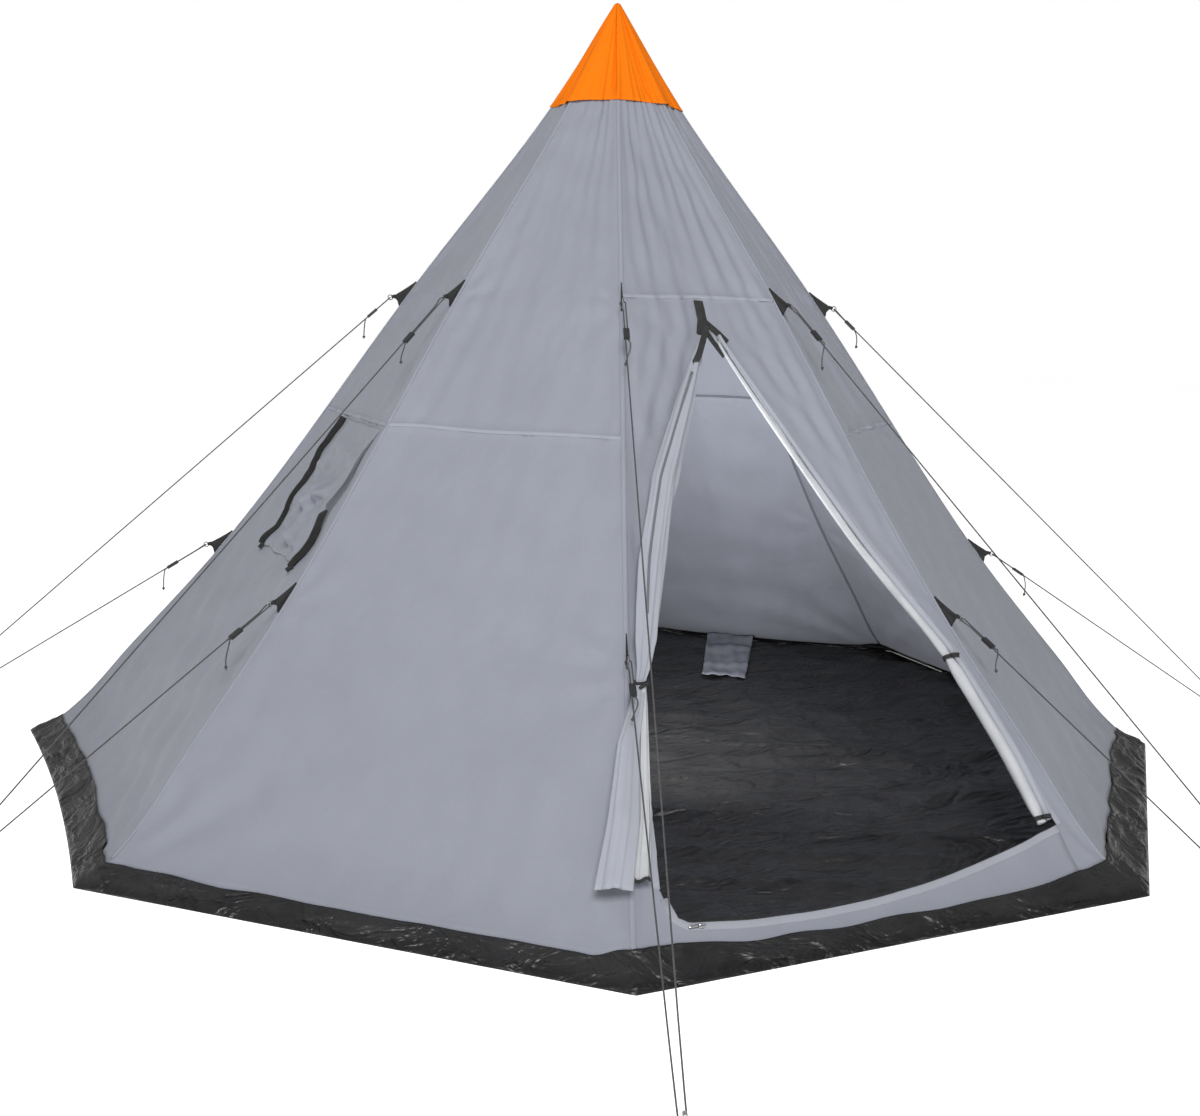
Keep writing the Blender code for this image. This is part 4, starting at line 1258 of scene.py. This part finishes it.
def make_left_leaf():
    """The door's left leaf and its net, gathered and tied at the ridge."""
    rings = gathered(LEAF_STATIONS, LEAF_ROWS, LEAF_TURNS, LEAF_COLUMNS, 0.0075, 3, 0.0)
    leaf = add_mesh("door_leaf_gathered", [grid_patch(rings)], leaf_cloth)
    thicken(leaf, CLOTH)
    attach(leaf, "root")
    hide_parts("door_leaf_left")
    # The leaf's zip is a dark strip: its tone is painted shade in the gap along the leaf
    outermost = int(LEAF_ZIP_ANGLE / (LEAF_TURNS * math.tau) * (LEAF_COLUMNS - 1))
    path = rings[LEAF_ZIP_ROWS, outermost] + np.array((0, -1.0, 0.4)) * 0.0015
    zip_strap = strap(path, np.broadcast_to((0.0, -1.0, 0.5), path.shape), 0.007, 0.002)
    zip_line = add_mesh("leaf_zip", [zip_strap], painted_shade_cloth)
    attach(zip_line, "root")
    net_rings = gathered(NET_STATIONS, NET_ROWS, 2.2, 90, 0.003, 5, 0.012)
    net = add_mesh("door_net_gathered", [grid_patch(net_rings)], white_net)
    thicken(net, NET)
    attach(net, "root")
    # The cord tie round the bundle, with its toggle, and the net's weighted end
    outline = gathered(LEAF_STATIONS, LEAF_ROWS, 1.0, 49, 0.0, 3, 0.0, 1.0)
    z = np.linspace(LEAF_STATIONS[0, 0], LEAF_STATIONS[-1, 0], LEAF_ROWS)
    loop, centre = loop_round(outline[int(np.argmin(np.abs(z - TIE_HEIGHT))), :-1], 1.28)
    net_end = gathered(NET_STATIONS, NET_ROWS, 1.0, 33, 0.0, 5, 0.012, 1.0)[0, :-1]
    tubes = ((loop, 0.0020), (loop + UP * 0.0045, 0.0018), (loop_round(net_end, 1.06)[0], 0.0042))
    tie = [tube_patch(path, radius, 8, hint=(0.05, 0.1, 1.0)) for path, radius in tubes]
    front, axis = centre + level(-math.pi / 2) * 0.024, unit(np.array((0.9, 0.0, 0.45)))
    tie.insert(2, toggle_patch(front, axis, 0.014, 0.0036, 0.0008, (0, 1.0, 0)))
    ties = add_mesh("left_ties", tie, black_webbing)
    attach(ties, "root")
    return leaf, net


TOGGLE_HEIGHTS = (0.170, 0.55)
ROLL_TURNS = 4.75
ROLL_CORE = 0.22


def pinched(z, radius):
    """The roll's radius, drawn in where its ties are."""
    waist = sum(np.exp(-(((z - t) / 0.018) ** 2)) for t in TOGGLE_HEIGHTS)
    return radius * (1 - 0.30 * waist)


# Heights, how far from the door's middle the net's roll and the leaf's roll hang there, and the
# heights at which their radii are given
ROLL_HEIGHTS = (0.160, 0.170, 0.34, 0.55, 0.60, 0.86, 1.10, 1.28, 1.40, 1.43)
NET_ROLL_X = (0.552, 0.549, 0.520, 0.461, 0.437, 0.281, 0.164, 0.076, 0.022, 0.006)
LEAF_ROLL_X = (0.578, 0.576, 0.550, 0.487, 0.462, 0.308, 0.188, 0.099, 0.040, 0.022)
RADIUS_HEIGHTS = (0.14, 0.5, 0.6, 1.0)


def rolled(low, high, xs, lift, radii, seed):
    """A sheet rolled up along the doorway: a spiral section swept along the edge."""
    z = np.linspace(low, high, 150)
    radius = pinched(z, np.interp(z, (*RADIUS_HEIGHTS, high), radii))
    x = np.convolve(np.pad(np.interp(z, ROLL_HEIGHTS, xs), 4, "edge"), np.ones(9) / 9, "valid")
    path = wall_point(0, x / half_width(z), z, lift)
    along = along_path(path)
    across = unit(np.cross(along, wall_normals(z)))
    angle = np.linspace(0, ROLL_TURNS * math.tau, 110)
    z = z[:, None]
    wave = 1 + 0.05 * np.sin(3 * angle + 9 * z + seed) + 0.04 * np.sin(25 * z + 2 * angle)
    reach = (ROLL_CORE + (1 - ROLL_CORE) * angle / angle[-1]) * radius[:, None] * wave
    twisted = angle + 0.9 * np.sin(3.1 * z + seed)
    section = np.stack([reach * np.cos(twisted), reach * 0.86 * np.sin(twisted)], -1)
    return grid_patch(swept(path, across, np.cross(across, along), section))


def toggle_tie(height):
    """A strap round the rolls at a height, and the toggle that holds it."""
    at = np.array([height + 0.002])
    x = np.interp(at, ROLL_HEIGHTS, NET_ROLL_X) + 0.008
    centre = wall_point(0, x / half_width(at), at, 0.013)[0]
    normal = wall_normals(at)[0]
    along = unit(wall_point(0, 0, height + 0.02) - wall_point(0, 0, height))
    side = unit(np.cross(along, normal))
    turns = np.linspace(0, math.tau, 33)[:, None]
    loop = centre + side * (0.0255 * np.cos(turns)) + normal * (0.0155 * np.sin(turns))
    across = np.broadcast_to(along, loop.shape)
    band = swept(loop, across, unit(loop - centre), strap_section(0.012, 0.0014))
    toggle = toggle_patch(centre + normal * 0.0205, side, 0.013, 0.0042, 0.0010, tuple(along))
    return [loft_patch(band), toggle]


def make_right_leaf():
    """The door's right leaf and its net, rolled up along the doorway and tied."""
    radii = (0.0190, 0.0180, 0.0130, 0.0105, 0.0040)
    net_roll = rolled(0.162, 1.405, NET_ROLL_X, 0.013, radii, 1.0)
    net = add_mesh("door_net_rolled", [net_roll], white_net)
    thicken(net, NET)
    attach(net, "root")
    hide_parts("door_leaf_right")
    radii = (0.0130, 0.0130, 0.0120, 0.0110, 0.0060)
    leaf_roll = rolled(0.168, 1.425, LEAF_ROLL_X, 0.0150, radii, 2.0)
    leaf = add_mesh("door_leaf_rolled", [leaf_roll], leaf_cloth)
    thicken(leaf, ROLLED_CLOTH)
    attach(leaf, "root")
    ties = [patch for height in TOGGLE_HEIGHTS for patch in toggle_tie(height)]
    tie_object = add_mesh("right_ties", ties, black_webbing)
    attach(tie_object, "root")
    return leaf, net


left_leaf, left_net = make_left_leaf()
right_leaf, right_net = make_right_leaf()


def wall_strap(points, width, lift):
    """A flat strap over the door wall through (x, z) points."""
    t = np.linspace(0, len(points) - 1, 24)
    x, z = (np.interp(t, range(len(points)), values) for values in zip(*points))
    return strap(on_cloth(0, x, z, lift), wall_normals(z), width, 0.0022)


def make_door_top():
    """The black webbing at the zips' top: a tab over the peak and tapes that run down from it."""
    parts = []
    for points, width, lift in (
        (((0.000, 1.524), (-0.004, 1.470), (-0.022, 1.425)), 0.030, 0.004),
        (((-0.012, 1.455), (-0.050, 1.400), (-0.090, 1.345), (-0.122, 1.300)), 0.019, 0.042),
        (((-0.004, 1.468), (0.026, 1.440), (0.062, 1.405)), 0.020, 0.005),
        (((-0.008, 1.440), (0.010, 1.403), (0.034, 1.362)), 0.017, 0.008),
    ):
        parts.append(wall_strap(points, width, lift))
    top = add_mesh("door_top_tab", parts, black_webbing)
    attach(top, "root")


make_door_top()

# ---- Window ----

flap_low, flap_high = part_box("window_flap")
FLAP_HALF = (flap_high.y - flap_low.y) / 2
FLAP_LENGTH = 0.469
FLAP_TOP = flap_high.z
FLAP_SLOPE = (flap_high.z - flap_low.z) / FLAP_LENGTH
FLAP_MIDDLE = sum(WINDOW_X) / 2
OUTSIDE = np.array((0, -1.0, 0))
# The flap's folds, each (start, end, height, width) in metres over and down it
FLAP_FOLDS = (
    ((-0.16, 0.16), (0.10, 0.24), 0.024, 0.022),
    ((0.12, 0.22), (-0.05, 0.31), 0.030, 0.024),
    ((-0.07, 0.35), (0.14, 0.41), 0.028, 0.022),
    ((0.02, 0.24), (0.07, 0.42), 0.028, 0.016),
    ((-0.10, 0.08), (0.14, 0.12), 0.010, 0.022),
)


def flap_lift(u, v):
    """How far the flap's cloth stands off the wall: flush at its top, with slanting folds below."""
    loose = smooth(v / 0.12)
    folds = 0.004 * ripple(u, v, 0.16, 122) + 0.0012 * ripple(u, v, 0.05, 123)
    for (u0, v0), (u1, v1), height, width in FLAP_FOLDS:
        du, dv = u1 - u0, v1 - v0
        t = np.clip(((u - u0) * du + (v - v0) * dv) / (du * du + dv * dv), 0, 1)
        gap = np.hypot(u - u0 - t * du, v - v0 - t * dv)
        folds = folds + height * np.exp(-((gap / width) ** 2)) * (0.7 + 0.3 * np.sin(3 * t))
    inside = smooth((FLAP_HALF - np.abs(u)) / 0.05)
    return 0.0015 + loose * (0.0015 + (0.2 + 0.8 * inside) * np.maximum(folds + 0.002, 0.0))


def flap_edge(v):
    """Half the flap's width: its sides are drawn in below the middle."""
    return FLAP_HALF - 0.004 - 0.012 * np.exp(-(((v - 0.34) / 0.10) ** 2))


def flap_point(u, v, lift=0.0):
    u, v, lift = np.broadcast_arrays(u + 0.055 * smooth(v / FLAP_LENGTH), v, lift)
    z = FLAP_TOP - 0.002 - FLAP_SLOPE * v
    return on_cloth(WINDOW_SIDE, FLAP_MIDDLE + u, z, flap_lift(u, v) + lift)


# For each side of the flap: distances down it, and how far its black tape and its grey hem stand
# up there
FLAP_SIDES = (
    (
        -1,
        (0, 0.02, 0.22, 0.30, 0.40, 0.44, 0.469),
        (0.025, 0.026, 0.024, 0.020, 0.018, 0.024, 0.022),
        (0,) * 7,
    ),
    (
        1,
        (0, 0.05, 0.24, 0.265, 0.30, 0.44, 0.469),
        (0, 0, 0, 0, 0.026, 0.028, 0.020),
        (0, 0.006, 0.020, 0.022, 0, 0, 0),
    ),
)


def standing_edge(base, run, rise, lean, sign):
    """The part of a flap's edge that stands up from its base, by rise along the run."""
    stands = rise > 0.004
    curl = 0.002 * np.sin(30 * run + 2 * sign)
    shares = np.linspace(0, 1, 7)[:, None, None]
    rows = base + lean * rise[:, None] * shares + OUTSIDE * curl[:, None] * shares**2
    front = np.swapaxes(rows[:, stands], 0, 1)
    back = front - 0.0022 * OUTSIDE
    return loft_patch(np.concatenate([front, back[:, ::-1]], 1))


def make_flap():
    """The window's cover with its folds, its black tapes and its grey hem."""
    outward, _ = wall_axes(WINDOW_SIDE)
    v = np.linspace(0, FLAP_LENGTH, 80)[:, None]
    u = np.linspace(-1, 1, 76)[None, :] * flap_edge(v)
    flap = add_mesh("flap_cloth", [grid_patch(flap_point(u, v))], canopy_cloth)
    thicken(flap, CLOTH)
    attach(flap, "window_flap")
    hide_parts("window_flap")
    run = np.linspace(0.0, FLAP_LENGTH, 90)
    lean = unit(outward + 0.35 * OUTSIDE + 0.45 * UP)
    tapes, hems = [], []
    for sign, places, black, grey in FLAP_SIDES:
        base = flap_point(sign * flap_edge(run) + 0.003 * np.sin(15 * run + sign), run, -0.001)
        for rises, parts in ((black, tapes), (grey, hems)):
            if any(rises):
                parts.append(standing_edge(base, run, np.interp(run, places, rises), lean, sign))
        t = np.linspace(-0.004, 0.016, 9)[:, None]
        tail = base[-1] + unit(base[-1] - base[-6]) * t + lean * (0.006 + 0.004 * np.sin(70 * t))
        tapes.append(strap(tail, np.broadcast_to(OUTSIDE, tail.shape), 0.014, 0.002))
    flap_tape = add_mesh("flap_tapes", tapes, black_webbing)
    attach(flap_tape, "window_flap")
    # The hem is dark grey: painted shade along the flap's edge
    flap_hem = add_mesh("flap_hem", hems, painted_shade_cloth)
    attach(flap_hem, "window_flap")
    return flap


SCREEN_OVERLAP = 0.018


def make_screen():
    """The net that is sewn inside the window's opening."""
    z = np.linspace(WINDOW_Z[0] - SCREEN_OVERLAP, WINDOW_Z[1] + SCREEN_OVERLAP, 40)[:, None]
    x = np.linspace(WINDOW_X[0] - SCREEN_OVERLAP, WINDOW_X[1] + SCREEN_OVERLAP, 44)[None, :]
    sag = 0.003 * ripple(x, z, 0.2, 131) * smooth((0.2 - np.abs(x - 0.1)) / 0.05)
    patch = grid_patch(on_cloth(WINDOW_SIDE, x, z, sag - 0.0045))
    net = add_mesh("window_screen", [patch], white_net)
    thicken(net, NET)
    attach(net, "root")
    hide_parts("window_net")
    return net


flap_cloth = make_flap()
window_screen = make_screen()

# ---- Inside ----

SLEEVE_START = np.array((1.19, 1.125, 0.0))
SLEEVE_END = np.array((0.79, 0.49, 0.0))


def make_cable_sleeve():
    """A grey cloth sleeve that lies on the floor from the foot of the rear right wall."""
    t = np.linspace(0, 1, 34)[:, None]
    across = np.linspace(-1, 1, 22)
    run = SLEEVE_END - SLEEVE_START
    side = unit(np.cross(unit(run), UP))
    width = 0.104 - 0.016 * t
    points = SLEEVE_START + run * t[..., None] + side * (across * width)[..., None]
    waves = 0.004 * np.sin(3.2 * across + 6 * t) * (1 - across**2)
    waves = waves + 0.002 * np.sin(11 * across + 9 * t)
    rise = floor_rise(points[..., 0], points[..., 1])
    points[..., 2] = rise + 0.012 + waves + 0.02 * np.exp(-((9 * t) ** 1.3))
    sleeve = add_mesh("cable_sleeve", [grid_patch(points)], sleeve_cloth)
    thicken(sleeve, CLOTH, 1.0)
    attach(sleeve, "root")
    return sleeve


cable_sleeve = make_cable_sleeve()


def dress_cad_nodes():
    """Materials for the CAD nodes that show."""
    finishes = {"pole_foot": foot_rubber, "zip_slider": peg_metal}
    finishes |= {"pole_" + name: pole_coat for name in ("lower", "middle", "upper")}
    for name in CORNERS:
        finishes["guy_peg_" + name] = peg_metal
        for height in LEVELS:
            finishes[f"runner_{height}_{name}"] = runner_plastic
    for name, material in finishes.items():
        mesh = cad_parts[name].data
        mesh.materials.clear()
        mesh.materials.append(material)


dress_cad_nodes()


def make_zip_pull():
    """The slider's pull: a wire bail and a flat tab that hangs from it."""
    low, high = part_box("zip_slider")
    at = np.array((low + high) / 2)
    normal = wall_normals(np.array([0.08]))[0]
    along = unit(wall_point(0, 0, 0.10) - wall_point(0, 0, 0.06))
    side = np.array((1.0, 0, 0))
    start = at + normal * 0.0035
    arch = 0.004 * np.sin(np.linspace(0, math.pi, 9))[:, None]
    bail = start + side * np.linspace(-0.012, 0.010, 9)[:, None] + normal * arch
    tab = start + normal * 0.003 - side * np.linspace(0.010, 0.036, 7)[:, None]
    parts = [
        tube_patch(bail, 0.0012, 8, hint=tuple(along)),
        strap(tab, np.broadcast_to(normal, tab.shape), 0.007, 0.0012),
    ]
    pull = add_mesh("zip_pull", parts, peg_metal)
    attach(pull, "zip_slider")


make_zip_pull()

# ---- Studio ----


PAPER_HALF = 30.0
PAPER_Z = -0.0005
# How bright the room is on its left side, -X, and on its right
ROOM_LIGHT = (0.54, 0.20)


def make_studio():
    """White paper, and a white room that gives less light than the camera sees in it."""
    mesh = bpy.data.meshes.new("studio_floor")
    low, high = -PAPER_HALF, PAPER_HALF
    corners = [(x, y, PAPER_Z) for x, y in ((low, low), (high, low), (high, high), (low, high))]
    mesh.from_pydata(corners, [], [(0, 1, 2, 3)])
    paper = Nodes("studio_paper", (0.93, 0.93, 0.93), 0.9)
    for name, value in (("Emission Color", (1, 1, 1, 1)), ("Emission Strength", 0.65)):
        paper.shader.inputs[name].default_value = value
    mesh.materials.append(paper.material)
    ground = link("studio_floor", mesh)
    world = bpy.data.worlds.new("studio")
    world.use_nodes = True
    nodes, links = world.node_tree.nodes, world.node_tree.links
    path = nodes.new("ShaderNodeLightPath")
    strength = nodes.new("ShaderNodeMapRange")
    strength.inputs["To Max"].default_value = 1.0
    links.new(path.outputs["Is Camera Ray"], strength.inputs["Value"])
    place = nodes.new("ShaderNodeTexCoord")
    axes = nodes.new("ShaderNodeSeparateXYZ")
    links.new(place.outputs["Generated"], axes.inputs["Vector"])
    side = nodes.new("ShaderNodeMapRange")
    for name, value in zip(("From Min", "From Max", "To Min", "To Max"), (-1.0, 1.0, *ROOM_LIGHT)):
        side.inputs[name].default_value = value
    links.new(axes.outputs["X"], side.inputs["Value"])
    links.new(side.outputs["Result"], strength.inputs["To Min"])
    links.new(strength.outputs["Result"], nodes["Background"].inputs["Strength"])
    nodes["Background"].inputs["Color"].default_value = (1, 1, 1, 1)
    bpy.context.scene.world = world


def add_area(name, place, target, size, power, shines=True):
    data = bpy.data.lights.new(name, "AREA")
    data.energy = power
    data.size = size
    light = link(name, data)
    light.location = place
    light.rotation_euler = (Vector(target) - Vector(place)).to_track_quat("-Z", "Y").to_euler()
    light.visible_camera = False
    light.visible_glossy = shines


make_studio()
add_area("key", (-3.2, -7.6, 6.2), (0, 0, 1.0), 3.0, 715)
add_area("inside", (-0.38, -0.66, 0.60), (1.05, 0.95, 0.74), 0.5, 44, False)
bpy.context.scene.view_settings.view_transform = "Standard"
